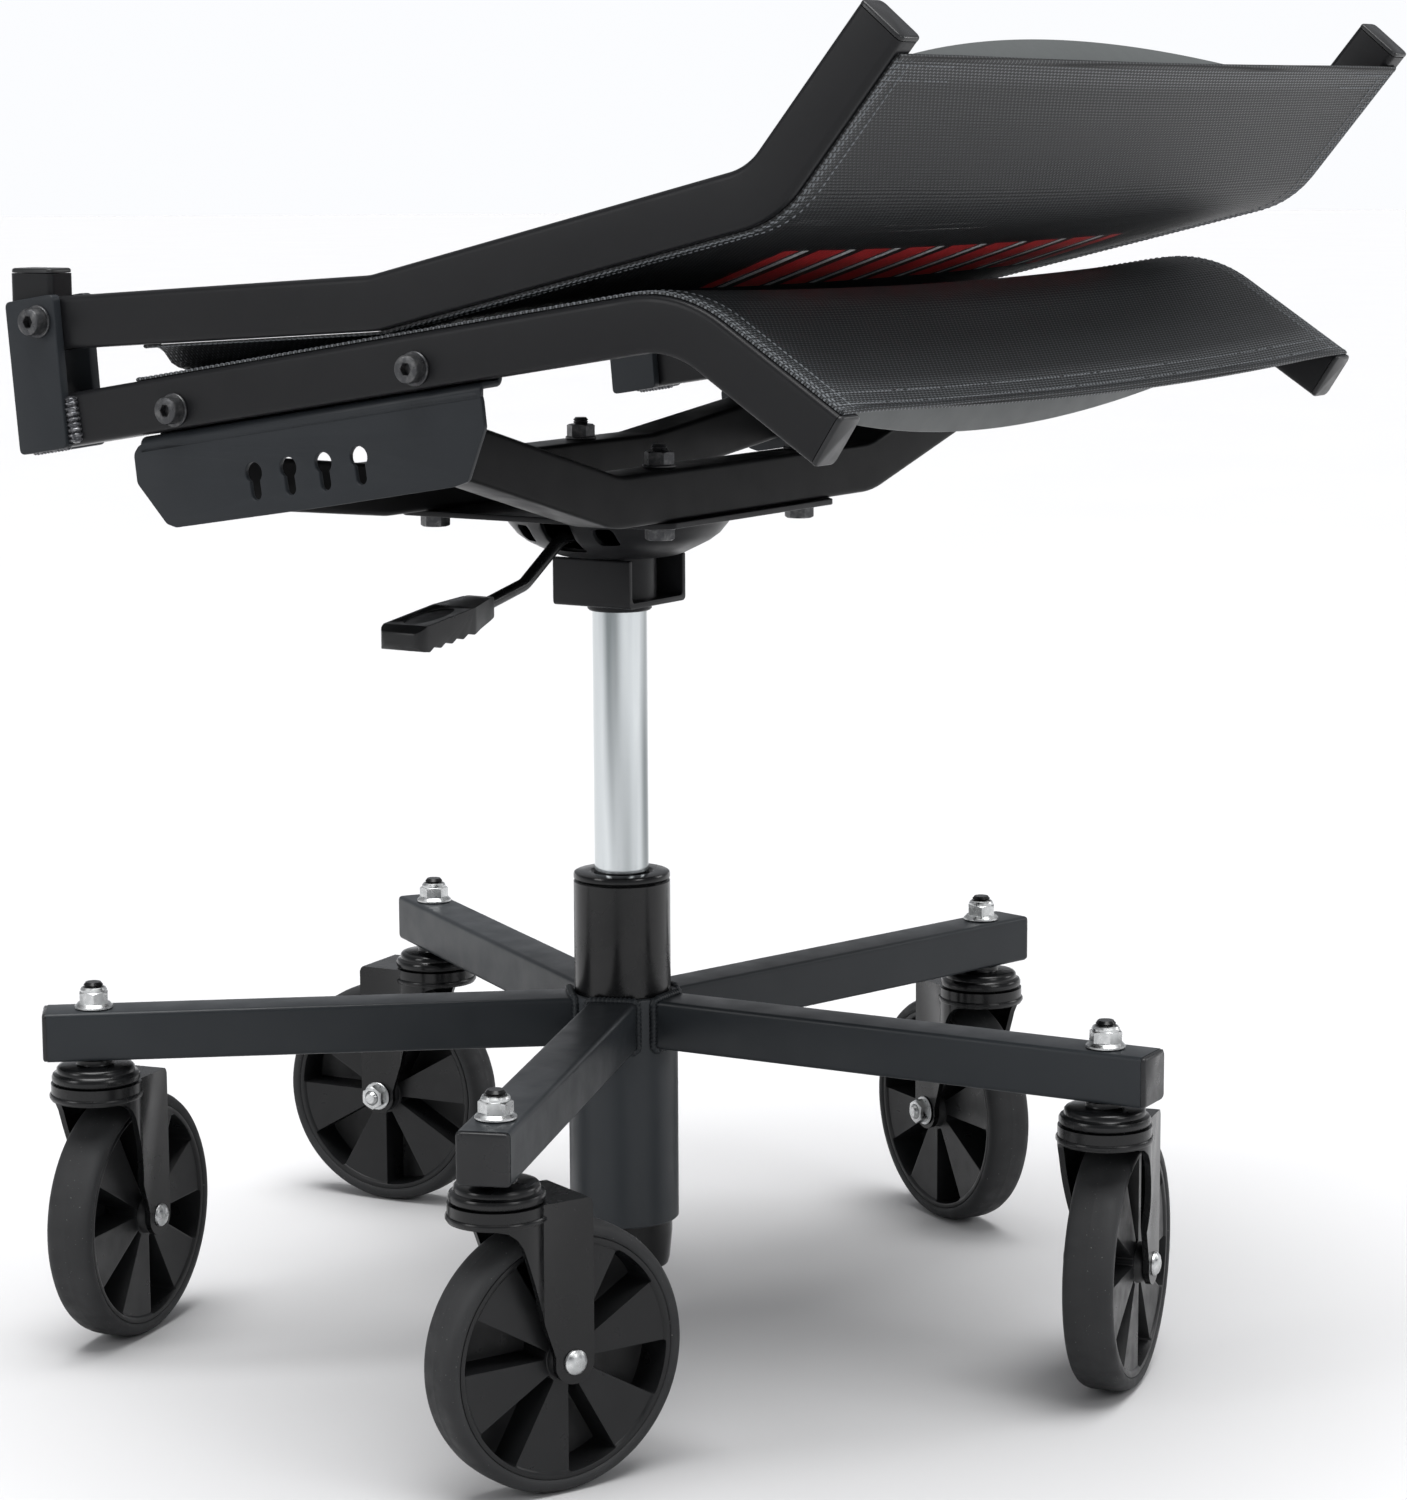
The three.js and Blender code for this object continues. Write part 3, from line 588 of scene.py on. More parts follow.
LOOKS = {   # the record's slot and the material of each look
    "arm": ("frame_paint", powder("charcoal_powder_coat", (0.0205, 0.0235, 0.0265), 0.36, 900, 0.35, 0.22)),
    # the hub: the arms' charcoal coat painted lighter, painted light for the light that falls on the hub
    "hub": ("frame_paint", powder("hub_coat_painted_lighter", (0.034, 0.038, 0.042), 0.38, 900, 0.35, 0.24)),
    "bracket": ("frame_paint", powder("bracket_powder_coat", (0.0165, 0.019, 0.022), 0.38, 900, 0.35)),
    "strap": ("frame_paint", powder("grey_satin_coat", (0.075, 0.081, 0.081), 0.42, 1300, 0.15)),
    # the carriers: the satin black coat made darker still, painted shade for the shade under the seat
    "shaded_carrier": ("satin_black", powder("black_coat_painted_shade", (0.0035, 0.0036, 0.004), 0.38, 1100, 0.2, 0.08)),
    "rail": ("satin_black", powder("satin_black_coat", (0.0072, 0.0074, 0.0083), 0.36, 1100, 0.3)),
    "weld": ("satin_black", bare_weld()),
    "gloss": ("gloss_black", enamel()),
    "chrome": ("chromed_rod", chrome()),
    "zinc": ("zinc_plate", zinc()),
    "steel": ("black_steel", black_oxide()),
    "plastic": ("black_plastic", moulded("black_moulding", (0.0085, 0.0088, 0.0094), 0.34)),
    "plug": ("black_plastic", moulded("plug_moulding", (0.016, 0.0165, 0.0175), 0.3)),
    "rubber": ("tyre_rubber", tyre_rubber()),
    "seat_mesh": ("sling_mesh", weave("seat_weave", False, 0.38, (0.085, 0.095, 0.104))),
    "back_mesh": ("sling_mesh", weave("back_weave", True, 0.43, (0.05, 0.055, 0.06))),
    "thread": ("sling_mesh", moulded("grey_thread", (0.14, 0.15, 0.16), 0.4)),
}


def finish_piece(obj, look, body, *stands_for):
    """Gives a piece its material and body, and hides what it replaces."""
    slot, material = LOOKS[look]
    obj.data.materials.clear()
    obj.data.materials.append(material)
    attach(obj, body)
    if stands_for:
        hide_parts(*stands_for)
    return obj


def copy_of(obj, name):
    twin = bpy.data.objects.new(name, obj.data)
    bpy.context.scene.collection.objects.link(twin)
    return twin


# ---- fasteners ----------------------------------------------------------
def hex_radius(angle, across):
    sector = TURN / 6
    return across / 2 / math.cos((angle + sector / 2) % sector - sector / 2)


RING = [(TURN * k / 48, 0) for k in range(48)]


def ring_stack(name, rings, closed=False):
    """A solid from rings; a ring turns an angle into [radius, height]."""
    def place(ring):
        def point(angle, _):
            radius, z = ring(angle)
            return (radius * math.cos(angle), radius * math.sin(angle), z)
        return point
    return sweep(name, RING, [place(ring) for ring in rings], 28, closed)


def hexagon(name, across, height, bore=0.0):
    """A hexagon head or nut whose corners are chamfered, standing on z 0."""
    flat = across / 2 * 0.97
    fall = math.tan(math.radians(30))
    rings = [
        lambda a: (hex_radius(a, across), 0.0),
        lambda a: (hex_radius(a, across), height - (hex_radius(a, across) - flat) * fall),
        lambda a: (flat, height),
    ]
    if bore:
        rings += [lambda a: (bore + 0.5, height), lambda a: (bore, height - 0.5), lambda a: (bore, 0.0)]
    return ring_stack(name, rings, bool(bore))


def thread_profile(radius, low, high, pitch=1.25):
    """The outline of a threaded rod, one tooth for each turn."""
    out = [(0, low), (radius - 0.9, low)]
    count = max(2, int((high - low - 1.2) / pitch))
    for k in range(count):
        z = low + 0.6 + k * (high - low - 1.2) / count
        out += [(radius - 0.55, z), (radius, z + pitch / 2)]
    return out + [(radius - 0.55, high - 0.7), (radius - 1.1, high), (0, high)]


def socket_screw(name, radius, height, key):
    """A cylinder head with a rounded edge and a six-sided socket, on z 0."""
    return ring_stack(name, [
        lambda a: (radius, 0), lambda a: (radius, height - 1),
        lambda a: (radius - 0.3, height - 0.3), lambda a: (radius - 1, height),
        lambda a: (hex_radius(a, key) + 0.35, height),
        lambda a: (hex_radius(a, key), height - 0.4), lambda a: (hex_radius(a, key), height * 0.4)])


def washer(name, inner, outer, thick, low=0.0):
    edge = min(0.35, thick / 3)
    return lathe(name, [
        (inner, low), (outer - edge, low), (outer, low + edge), (outer, low + thick - edge),
        (outer - edge, low + thick), (inner, low + thick), (inner, low)], 48)


def lifted(obj, z):
    moved(obj.data, shift(z=z))
    return obj


# ---- the base -----------------------------------------------------------
def node_box(name):
    """A CAD node's lowest and highest corners, in millimetres."""
    low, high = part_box(name)
    return Vector(low) / MM, Vector(high) / MM


def build_hub():
    low, high = node_box("hub_tube")
    r = (high.x - low.x) / 2
    bottom, top = low.z, high.z
    hub = lathe("hub", [
        (r - 3, bottom), (r - 0.8, bottom), (r, bottom + 0.8), (r, top - 1.2), (r - 0.4, top - 0.3),
        (r - 1.2, top), (r - 3, top), (r - 3, bottom)], 96)
    # the hub takes the lighter copy of the arms' coat: painted light
    finish_piece(hub, "hub", "base", "hub_tube")
    low, high = node_box("gas_cylinder")
    r = (high.x - low.x) / 2
    tube = lathe("cylinder_tube", [
        (0, low.z), (r - 4.5, low.z), (r - 2.2, low.z + 1.2), (r - 1.4, low.z + 4), (r, low.z + 18),
        (r, high.z - 0.6), (r - 0.6, high.z), (r - 2.6, high.z), (r - 2.6, low.z + 4),
        (0, low.z + 4)], 96)
    finish_piece(tube, "gloss", "base", "gas_cylinder")
    low, high = node_box("guide_ring")
    cap = lathe("cylinder_cap", [
        (14.5, low.z), (r - 3, low.z), (r - 3, high.z - 3.6), (r - 0.5, high.z - 3.6), (r, high.z - 3.1),
        (r, high.z - 1.2), (r - 0.4, high.z - 0.4), (r - 1.3, high.z), (16.6, high.z),
        (15.4, high.z - 1), (14.5, high.z - 1), (14.5, low.z)], 96)
    finish_piece(cap, "gloss", "base", "guide_ring")
    low, high = node_box("gas_rod")
    r = (high.x - low.x) / 2
    rod = lathe("lift_rod", [(0, low.z), (r - 1, low.z), (r, low.z + 1), (r, high.z - 1),
                             (r - 1, high.z), (0, high.z)], 96)
    finish_piece(rod, "chrome", "lift", "gas_rod")


def arm_angle(index):
    """The angle of an arm, from where its caster's swivel joint stands."""
    joint = next(j for j in frame["joints"] if j["name"] == f"caster_swivel_{index}")
    x, y, _ = joint["pos_m"]
    return math.atan2(y, x)


def build_arms():
    size, tip = 25.4, 297.8
    low, high = node_box("arm_1")
    middle = (low.z + high.z) / 2
    hub_low, hub_high = node_box("hub_tube")
    hub_radius = (hub_high - hub_low).x / 2

    def run(x, scale=1.0):
        return lambda u, v: (x, u * scale, middle + v * scale)

    def on_hub(u, v, proud):
        return (math.sqrt(max(hub_radius ** 2 - u ** 2, 0)) + proud, u, middle + v)

    for index in range(1, 6):
        turn = Matrix.Rotation(arm_angle(index), 4, "Z")
        tube = sweep(f"arm_tube_{index}", rounded_box(size, size, 2.6, 5),
                     [lambda u, v: on_hub(u, v, -0.4), run(60), run(tip - 2.2)], 30)
        cap = sweep(f"arm_cap_{index}", rounded_box(size - 0.6, size - 0.6, 2.4, 5),
                    [run(tip - 2.1), run(tip - 0.7), run(tip, 0.93)], 60)
        loop = [on_hub(u, v, 0.4) for u, v in rounded_box(size + 1.2, size + 1.2, 3, 4)]
        bead = weld_bead(f"arm_weld_{index}", loop, 2.0, True)
        for piece in (tube, cap, bead):
            moved(piece.data, turn)
        finish_piece(tube, "arm", "base", f"arm_{index}")
        finish_piece(cap, "plug", "base")
        finish_piece(bead, "arm", "base")


# ---- casters ------------------------------------------------------------
def race_mesh():
    ring_top, stud_low, stud_top = 141.3, 178, 193.2
    race = lathe("race", raised([
        (0, -6), (6.4, -6), (6.4, 0), (19.6, 0), (21.8, 0.5), (22.5, 1.8), (22.5, 3.4), (21.9, 4.6),
        (20.6, 5), (20.0, 5.6), (19.9, 7.6), (19.0, 8.6), (17, 9.1), (9.9, 9.5), (9.7, 9.8),
        (9.7, 12.1), (9.3, 12.5), (5, 12.5)], ring_top) + [(5, stud_low), (0, stud_low)], 72)
    stud = lathe("stud", thread_profile(5.0, stud_low, stud_top, 1.5), 32)
    return joined("race_and_stud", [race, stud], 40)


def nut_mesh():
    low = 179.8
    base = lathe("nut_flange", raised([(5.2, 0), (9.4, 0), (9.8, 0.4), (9.7, 1.2), (8.2, 2.7), (5.2, 2.7),
                                       (5.2, 0)], low), 64)
    body = lifted(hexagon("nut_body", 14.2, 6.6, 5.2), low + 2.0)
    collar = lathe("nut_collar", raised([(5.2, 8), (6.8, 8), (6.8, 9.6), (6.2, 10.6), (5.5, 10.9),
                                         (5.2, 10.7), (5.2, 8)], low), 48)
    return joined("lock_nut", [base, body, collar], 30)


def fork_mesh():
    """A pressed cap with two tapering legs, cut from a hollow shape."""
    sheet, half, rear, ring = 3.0, 18.5, 40.0, 23.0
    top, bottom = 141.0, 50.0
    end_radius, trail, axle = 10.5, CASTER["trail"], CASTER["radius"]

    def box(x, y, z):
        return sweep("box", [(x[0], y[0]), (x[1], y[0]), (x[1], y[1]), (x[0], y[1])], level_places(z))

    def drum(radius, low, high):
        return lathe("drum", [(0, low), (radius, low), (radius, high), (0, high)], 96)

    body = combined(drum(ring, bottom, top), [box((0, rear), (-half, half), (bottom, top))], "UNION")
    inner = half - sheet
    hollow = combined(drum(ring - sheet, 0, top - sheet),
                      [box((0, rear + 20), (-inner, inner), (0, top - sheet))], "UNION")
    outline = [(-ring - 1, top + 1), (-ring - 1, 132.5), (-12, 132.5)]
    outline += [(-12 + 9 * math.sin(t) + 3 * t, 132.5 - 14 * (1 - math.cos(t)))
                for t in (0.4, 0.8, 1.2, 1.5)]
    outline += [(trail - end_radius + 0.3, 68)]
    turns = [math.radians(a) for a in range(190, 351, 10)]
    outline += [(trail + end_radius * math.cos(a), axle + end_radius * math.sin(a)) for a in turns]
    outline += [(rear, 70), (rear, top - 3), (rear - 0.8, top - 1), (rear - 3, top + 1)]
    side = sweep("side", outline, [lambda u, v: (u, -40, v), lambda u, v: (u, 40, v)])
    hole = drum(4.3, -40, 40)
    moved(hole.data, shift(trail, 0, axle) @ Matrix.Rotation(math.pi / 2, 4, "X"))
    shell = combined(body, [hollow], "DIFFERENCE")
    combined(shell, [side], "INTERSECT")
    combined(shell, [drum(7.2, 100, 160), hole], "DIFFERENCE")
    bevelled(shell, 0.7, 2, 42)
    lip = lathe("fork_lip", [(22.6, 133.4), (23.4, 133.2), (23.9, 133.9), (23.9, 135.1), (23.4, 135.8),
                             (22.6, 135.6), (22.6, 133.4)], 72)
    return joined("fork", [shell, lip], 40)


def rim_mesh():
    """Wedges open by turns to one side and the other, on an axle boss."""
    radius, half = CASTER["rim"], CASTER["rim_width"] / 2
    boss, wall, spoke = 11.0, 2.2, 1.9
    disc = lathe("rim", [(4.2, -half + 1.2), (boss, -half + 1.2), (radius - 3.4, -half + 1.2),
                         (radius - 2.8, -half + 0.4), (radius - 1.6, -half), (radius, -half), (radius, half),
                         (radius - 1.6, half), (radius - 2.8, half - 0.4), (radius - 3.4, half - 1.2),
                         (boss, half - 1.2), (4.2, half - 1.2), (4.2, -half + 1.2)], 144)
    pockets = []
    for k in range(12):
        start, step = TURN * k / 12, TURN / 12

        def corner(r, angle, aside):
            c, s = math.cos(angle), math.sin(angle)
            return (r * c - aside * s, r * s + aside * c)

        arc = [corner(radius - wall, start + step * t, (1 - 2 * t) * spoke / 2)
               for t in (0.0, 0.15, 0.3, 0.45, 0.55, 0.7, 0.85, 1.0)]
        low_arc = [corner(boss + 0.6, start + step * t, (1 - 2 * t) * spoke / 2) for t in (1.0, 0.5, 0.0)]
        span = (-half - 4, half - 3.6) if k % 2 == 0 else (-half + 3.6, half + 4)
        shape = round_corners(arc + low_arc, 1.2, 3)
        pockets.append(sweep("pocket", shape, level_places(span)))
    merged = joined("pockets", pockets)
    combined(disc, [merged], "DIFFERENCE")
    bevelled(disc, 0.45, 2, 50)
    hub = lathe("rim_boss", [(4.2, -15), (8.6, -15), (9.4, -14.4), (10.4, -half + 1), (11.6, -half + 1.6),
                             (11.6, half - 1.6), (10.4, half - 1), (9.4, 14.4), (8.6, 15), (4.2, 15),
                             (4.2, -15)], 64)
    return joined("wheel_rim", [disc, hub], 40)


def tyre_mesh():
    inner, outer, half = 57.2, CASTER["radius"], CASTER["width"] / 2
    right = [(inner, half - 1.1), (57.9, half - 0.3), (59.2, half), (61.2, half - 0.2), (62.6, half - 1.3),
             (63.6, half - 3.0), (64.2, half - 5.4), (outer - 0.06, half - 9), (outer - 0.05, 0.7),
             (outer + 0.0, 0.3)]
    left = [(r, -w) for r, w in reversed(right)]
    return lathe("tyre", right + left + [right[0]], 160, 45)


def axle_mesh():
    side = 18.8
    head = lathe("axle_head", [(0, -side - 3.2), (2.4, -side - 3.0), (4.6, -side - 2.2), (5.8, -side - 1.0),
                               (6.0, -side), (0, -side)], 48)
    shank = lathe("axle_shank", [(0, -side - 0.5), (3.9, -side - 0.5), (3.9, side + 2), (0, side + 2)], 32)
    nut = lifted(hexagon("axle_nut", 12.2, 5.4, 3.9), side + 1.0)
    ring = washer("axle_washer", 3.9, 8.2, 1.0, side)
    end = lathe("axle_end", thread_profile(3.9, side + 1, side + 8.4), 32)
    axle = joined("axle", [head, shank, nut, ring, end], 32)
    moved(axle.data, Matrix.Rotation(-math.pi / 2, 4, "X"))
    return axle


def build_casters():
    on_axle = shift(CASTER["trail"], 0, CASTER["radius"])
    lying = on_axle @ Matrix.Rotation(-math.pi / 2, 4, "X")
    masters = {
        "race": (race_mesh(), "gloss", "base", "caster_race"),
        "lock_nut": (nut_mesh(), "zinc", "base", "caster_nut"),
        "fork": (fork_mesh(), "gloss", "swivel", "caster_fork"),
        "axle": (axle_mesh(), "zinc", "swivel", "caster_axle"),
        "wheel_rim": (rim_mesh(), "plastic", "wheel", "caster_rim"),
        "tyre": (tyre_mesh(), "rubber", "wheel", "caster_tyre"),
    }
    moved(masters["axle"][0].data, on_axle)
    moved(masters["wheel_rim"][0].data, lying)
    moved(masters["tyre"][0].data, lying)
    joints = {j["name"]: j for j in frame["joints"]}
    for index in range(1, 6):
        x, y, _ = joints[f"caster_swivel_{index}"]["pos_m"]
        ax, ay, _ = joints[f"wheel_spin_{index}"]["axis"]
        heading = math.atan2(-ax, ay)
        station = Matrix.Translation((x, y, 0)) @ Matrix.Rotation(heading, 4, "Z")
        for name, (master, look, body, node) in masters.items():
            piece = copy_of(master, f"{name}_{index}")
            piece.matrix_world = station
            where = body if body == "base" else f"{body}_{index}"
            finish_piece(piece, look, where, f"{node}_{index}")
    for master, *_ in masters.values():
        bpy.data.objects.remove(master)


# ---- the head under the seat --------------------------------------------
def build_head():
    low, high = node_box("swivel_socket")
    half_x, half_y = (high.x - low.x) / 2, (high.y - low.y) / 2
    floor, top, wall = low.z + 3.6, high.z, 3.0
    bore, tube_radius = 14.3, 19
    outer = round_corners([(-half_x, top), (-half_x, floor), (half_x, floor), (half_x, top),
                           (half_x - wall, top), (half_x - wall, floor + wall),
                           (-half_x + wall, floor + wall), (-half_x + wall, top)], 2.6, 4)
    channel = upright(plate("channel", [outer], 2 * half_y, 0.5), FRONT)
    collar = lathe("collar", [(bore, low.z), (15.6, low.z), (16.5, low.z + 0.8), (16.5, floor + 1),
                              (bore, floor + 1), (bore, low.z)], 72)
    tube = lathe("socket_tube", [(bore, floor), (tube_radius, floor), (tube_radius, top), (bore, top),
                                 (bore, floor)], 72)
    head = joined("swivel_channel", [channel, collar, tube], 40)
    finish_piece(head, "rail", "seat", "swivel_socket")
    build_bowl()
    build_plate()
    build_lever()


def build_bowl():
    low, high = node_box("tilt_bowl")
    z, top, r = low.z, high.z, (high.x - low.x) / 2
    bowl = lathe("bowl", raised([
        (0, 0), (27, 0), (31, 0.3), (34.5, 1.5), (40, 4.2), (47, 7.7), (52, 11.4), (56.4, 16.8)], z)
        + [(58.4, top - 2.6), (r, top - 1.2), (r, top), (r - 2.8, top), (54.6, top - 3.4)]
        + raised([(50.4, 13.4), (45.5, 10.2), (39, 7.2), (33.6, 4.6), (28, 3), (0, 3)], z), 120)

    def slot(y, width, depth, heights):
        left, right = y - width / 2, y + width / 2
        low, top = heights
        shape = round_corners([(left, low), (right, low), (right, top), (left, top)], 2.4, 4)
        return sweep("slot", shape, [lambda u, v: (-80, u, v), lambda u, v: (depth, u, v)])

    cutters = [slot(0, 18, -36, (412.6, 429))] + [slot(y, 10, -33, (417, 426)) for y in (-24, 24)]
    combined(bowl, cutters, "DIFFERENCE")
    bevelled(bowl, 0.4, 2, 48)
    finish_piece(bowl, "rail", "seat", "tilt_bowl")


def build_plate():
    half, low, top = PLATE["half"], PLATE["low"], PLATE["top"]
    inset = half - 9.0
    outline = [(half, -inset), (half, inset), (inset, half), (-inset, half),
               (-half, inset), (-half, -inset), (-inset, -half), (inset, -half)]
    sheet = lifted(plate("seat_plate", [round_corners(outline, 5, 5)], top - low, 0.5), (top + low) / 2)
    finish_piece(sheet, "rail", "seat", "mounting_plate")
    stand = top + 0.3 + CARRIER["size"]
    for index, (sx, sy) in enumerate([(-1, -1), (1, -1), (1, 1), (-1, 1)]):
        head = hexagon("head", 13, 5.2)
        moved(head.data, Matrix.Rotation(math.pi, 4, "X"))
        parts = [lifted(head, low - 1.4), washer("low_washer", 4.2, 8.2, 1.4, low - 1.4),
                 washer("top_washer", 4.2, 8.2, 1.4, stand + 0.1),
                 lifted(hexagon("nut", 13, 6.4, 4.2), stand + 1.5),
                 lathe("shank", [(0, low - 3), (4, low - 3), (4, stand), (0, stand)], 24),
                 lathe("tip", thread_profile(4.0, stand, stand + 11.5), 28)]
        bolt = joined(f"carrier_bolt_{index + 1}", parts, 30)
        turn = Matrix.Rotation(0.35 + 1.1 * index, 4, "Z")
        moved(bolt.data, shift(sx * PLATE["bolt_x"], sy * PLATE["bolt_y"]) @ turn)
        finish_piece(bolt, "steel", "seat")


def build_lever():
    path = bend_line(LEVER_PATH, 14, 8)
    lever = sweep("lever_rod", circle(3.3, 24), front_places(path, 0), 40)
    finish_piece(lever, "gloss", "lever", "release_lever")
    scallops = [(-184, 378.8), (-179, 378.3), (-175, 380.8), (-170.5, 379.2), (-166, 381.8),
                (-161.5, 380.3), (-157, 382.8), (-152.5, 381.4), (-148, 383.8), (-143.5, 382.7),
                (-137, 384.6), (-118, 388.4)]
    outline = [(-118, 398.4), (-124, 398.2), (-181, 390.6), (-186.5, 387.6), (-187, 381.5)] + scallops
    body = plate("paddle", [round_corners(outline, 2.4, 5)], 34, 0.4)
    upright(body, FRONT)
    plan = [(-116, -6), (-124, -8.5), (-142, -13), (-187, -13), (-187, 13), (-142, 13), (-124, 8.5),
            (-116, 6)]
    cutter = sweep("plan", round_corners(plan, 7, 6), level_places((370, 410)))
    combined(body, [cutter], "INTERSECT")
    bevelled(body, 1.3, 3, 38)
    dish = lathe("dish", [(0, 0), (17, 0), (17, 6), (0, 6)], 64)
    moved(dish.data, shift(-162, 0, 392.6) @ Matrix.Rotation(math.radians(-7.6), 4, "Y")
          @ Matrix.Diagonal((1.0, 0.5, 1.0, 1.0)))
    combined(body, [dish], "DIFFERENCE")
    finish_piece(body, "plastic", "lever", "lever_paddle")


def build_carriers():
    size = CARRIER["size"]
    middle, flat, end = CARRIER["middle"], CARRIER["flat"], CARRIER["end"]
    for name, side, rise in (("front", -1, 0.277), ("rear", 1, 0.112)):
        reach = (end - flat) * rise
        line = [(-end, middle + reach), (-flat, middle), (flat, middle), (end, middle + reach)]
        tube = sweep(f"carrier_tube_{name}", rounded_box(size, size, 2.8, 4),
                     front_places(bend_line(line, 60, 10), side * CARRIER["y"]), 30)
        # the carriers take the darker copy of the satin black coat: painted shade
        finish_piece(tube, "shaded_carrier", "seat", f"carrier_{name}")


# ---- the seat frame -----------------------------------------------------
def trim_path(path, start, end):
    """Moves the two ends of a path inwards, in millimetres."""
    (p0, w0), (p1, w1) = path[0], path[-1]
    return [(p0 + w0 * start, w0)] + path[1:-1] + [(p1 - w1 * end, w1)]


def end_plug(name, point, way, x):
    """A push-in plug: a flat cap with rounded edges that stands a little proud."""
    width, height, depth = RAIL["thick"], RAIL["height"], RAIL["plug"]

    def at(along, scale):
        def place(u, v):
            f = point.x + way.x * along - way.y * v * scale
            return (x + u * scale, -f, point.y + way.y * along + way.x * v * scale)
        return place

    stops = [at(0.25, 0.95), at(0.4, 1.0), at(depth - 0.9, 1.0), at(depth - 0.3, 0.975), at(depth, 0.92)]
    return sweep(name, rounded_box(width, height, 3.0, 4), stops, 60)


def build_rails():
    outline = rounded_box(RAIL["thick"], RAIL["height"], RAIL["edge"], 5)
    middle = RAIL["outer_x"] - RAIL["thick"] / 2
    depth = RAIL["plug"]
    for side, sign in (("left", 1), ("right", -1)):
        x = sign * middle
        path = bend_line(SEAT_LINE, SEAT_BEND, 12)
        tube = sweep(f"seat_tube_{side}", outline, side_places(trim_path(path, depth, depth), x), 30)
        finish_piece(tube, "rail", "seat", f"seat_rail_{side}")
        for end, (point, way) in (("front", path[-1]), ("rear", (path[0][0], -path[0][1]))):
            plug = end_plug(f"seat_plug_{end}_{side}", point - way * depth, way, x)
            finish_piece(plug, "plug", "seat")
        path = bend_line(BACK_LINE, BACK_BEND, 12)
        tube = sweep(f"back_tube_{side}", outline, side_places(trim_path(path, 0, depth), x), 30)
        stub = build_stub(side, x)
        finish_piece(joined(f"back_frame_{side}", [tube, stub], 30), "rail", "back", f"back_rail_{side}")
        plug = end_plug(f"back_plug_front_{side}", path[-1][0] - path[-1][1] * depth, path[-1][1], x)
        finish_piece(plug, "plug", "back")
        top = Vector(((STUB["rear"] + STUB["front"]) / 2, STUB["top"] - depth))
        plug = end_plug(f"back_plug_stub_{side}", top, Vector((0, 1)), x)
        finish_piece(plug, "plug", "back")


def build_stub(side, x):
    width = STUB["front"] - STUB["rear"]
    middle = (STUB["front"] + STUB["rear"]) / 2
    outline = rounded_box(RAIL["thick"], width, RAIL["edge"], 5)
    heights = (STUB["low"], STUB["top"] - RAIL["plug"])
    places = [(lambda z: lambda u, v: (x + u, -(middle + v), z))(z) for z in heights]
    return sweep(f"stub_{side}", outline, places, 30)


def bolt_across(obj, sign, forward, up, x):
    """Lays a fastener along X at a point of the side view, head outwards."""
    turn = Matrix.Rotation(sign * math.pi / 2, 4, "Y")
    moved(obj.data, shift(sign * x, -forward, up) @ turn)
    return obj


def build_hinges():
    gap, thick = HINGE["gap"], HINGE["thick"]
    outer, inner = RAIL["outer_x"] + gap, RAIL["outer_x"] - RAIL["thick"] - gap
    for side, sign in (("left", 1), ("right", -1)):
        parts = []
        for x in (outer + thick / 2, inner - thick / 2):
            sheet = plate("hinge_plate", [round_corners(HINGE_PLATE, 3.0, 5)], thick, 0.6)
            parts.append(upright(sheet, SIDE, shift(sign * x)))
        spacer = plate("spacer", [round_corners([(-167.5, 502.2), (-160.5, 503.3), (-161, 506.7),
                                                 (-168, 505.9)], 0.8, 3)], outer - inner + 2, 0.3)
        middle = sign * (outer + inner) / 2
        parts.append(upright(spacer, SIDE, shift(middle)))
        finish_piece(joined(f"hinge_{side}", parts, 40), "bracket", "seat", f"hinge_bracket_{side}")
        along = (Vector(SEAT_LINE[1]) - Vector(SEAT_LINE[0])).normalized()
        x = sign * (outer - 0.1)
        ends = [Vector((-134.2, 488.4)) + along.orthogonal() * k for k in (-11.5, 11.0)]
        front = [(x, -end.x, end.y) for end in ends]
        bead = weld_bead(f"hinge_weld_{side}", front, 4.0, False, 2.5)
        finish_piece(bead, "weld", "seat")
        low = [(x, 160.5, 471.6), (x, 136.5, 475.4)]
        finish_piece(weld_bead(f"hinge_weld_low_{side}", low, 1.7), "weld", "seat")
        parts = [socket_screw("head", 6.4, 6.4, 5.2), washer("disc", 4.1, 7.6, 1.4, -1.4)]
        nut_depth = -(outer - inner) - 2 * thick - 2 * gap - 1.4
        nut = hexagon("nut", 12.8, 6.2, 4.0)
        moved(nut.data, Matrix.Rotation(math.pi, 4, "X"))
        parts += [lifted(nut, nut_depth),
                  lathe("shank", thread_profile(4.0, nut_depth - 8.0, 2.0), 28)]
        bolt = bolt_across(joined("bolt", parts, 30), sign, *PIVOT, outer + thick + gap + 1.4)
        bolt.name = f"pivot_screw_{side}"
        finish_piece(bolt, "steel", "seat", f"pivot_bolt_{side}")
        for index, (forward, up) in enumerate(RAIL_SCREWS):
            parts = [lifted(socket_screw("head", 6.4, 6.0, 5.2), 1.6), washer("disc", 4.1, 7.8, 1.4, 0.2)]
            screw = bolt_across(joined("screw", parts, 30), sign, forward, up, RAIL["outer_x"])
            screw.name = f"rail_screw_{side}_{index + 1}"
            finish_piece(screw, "steel", "seat")


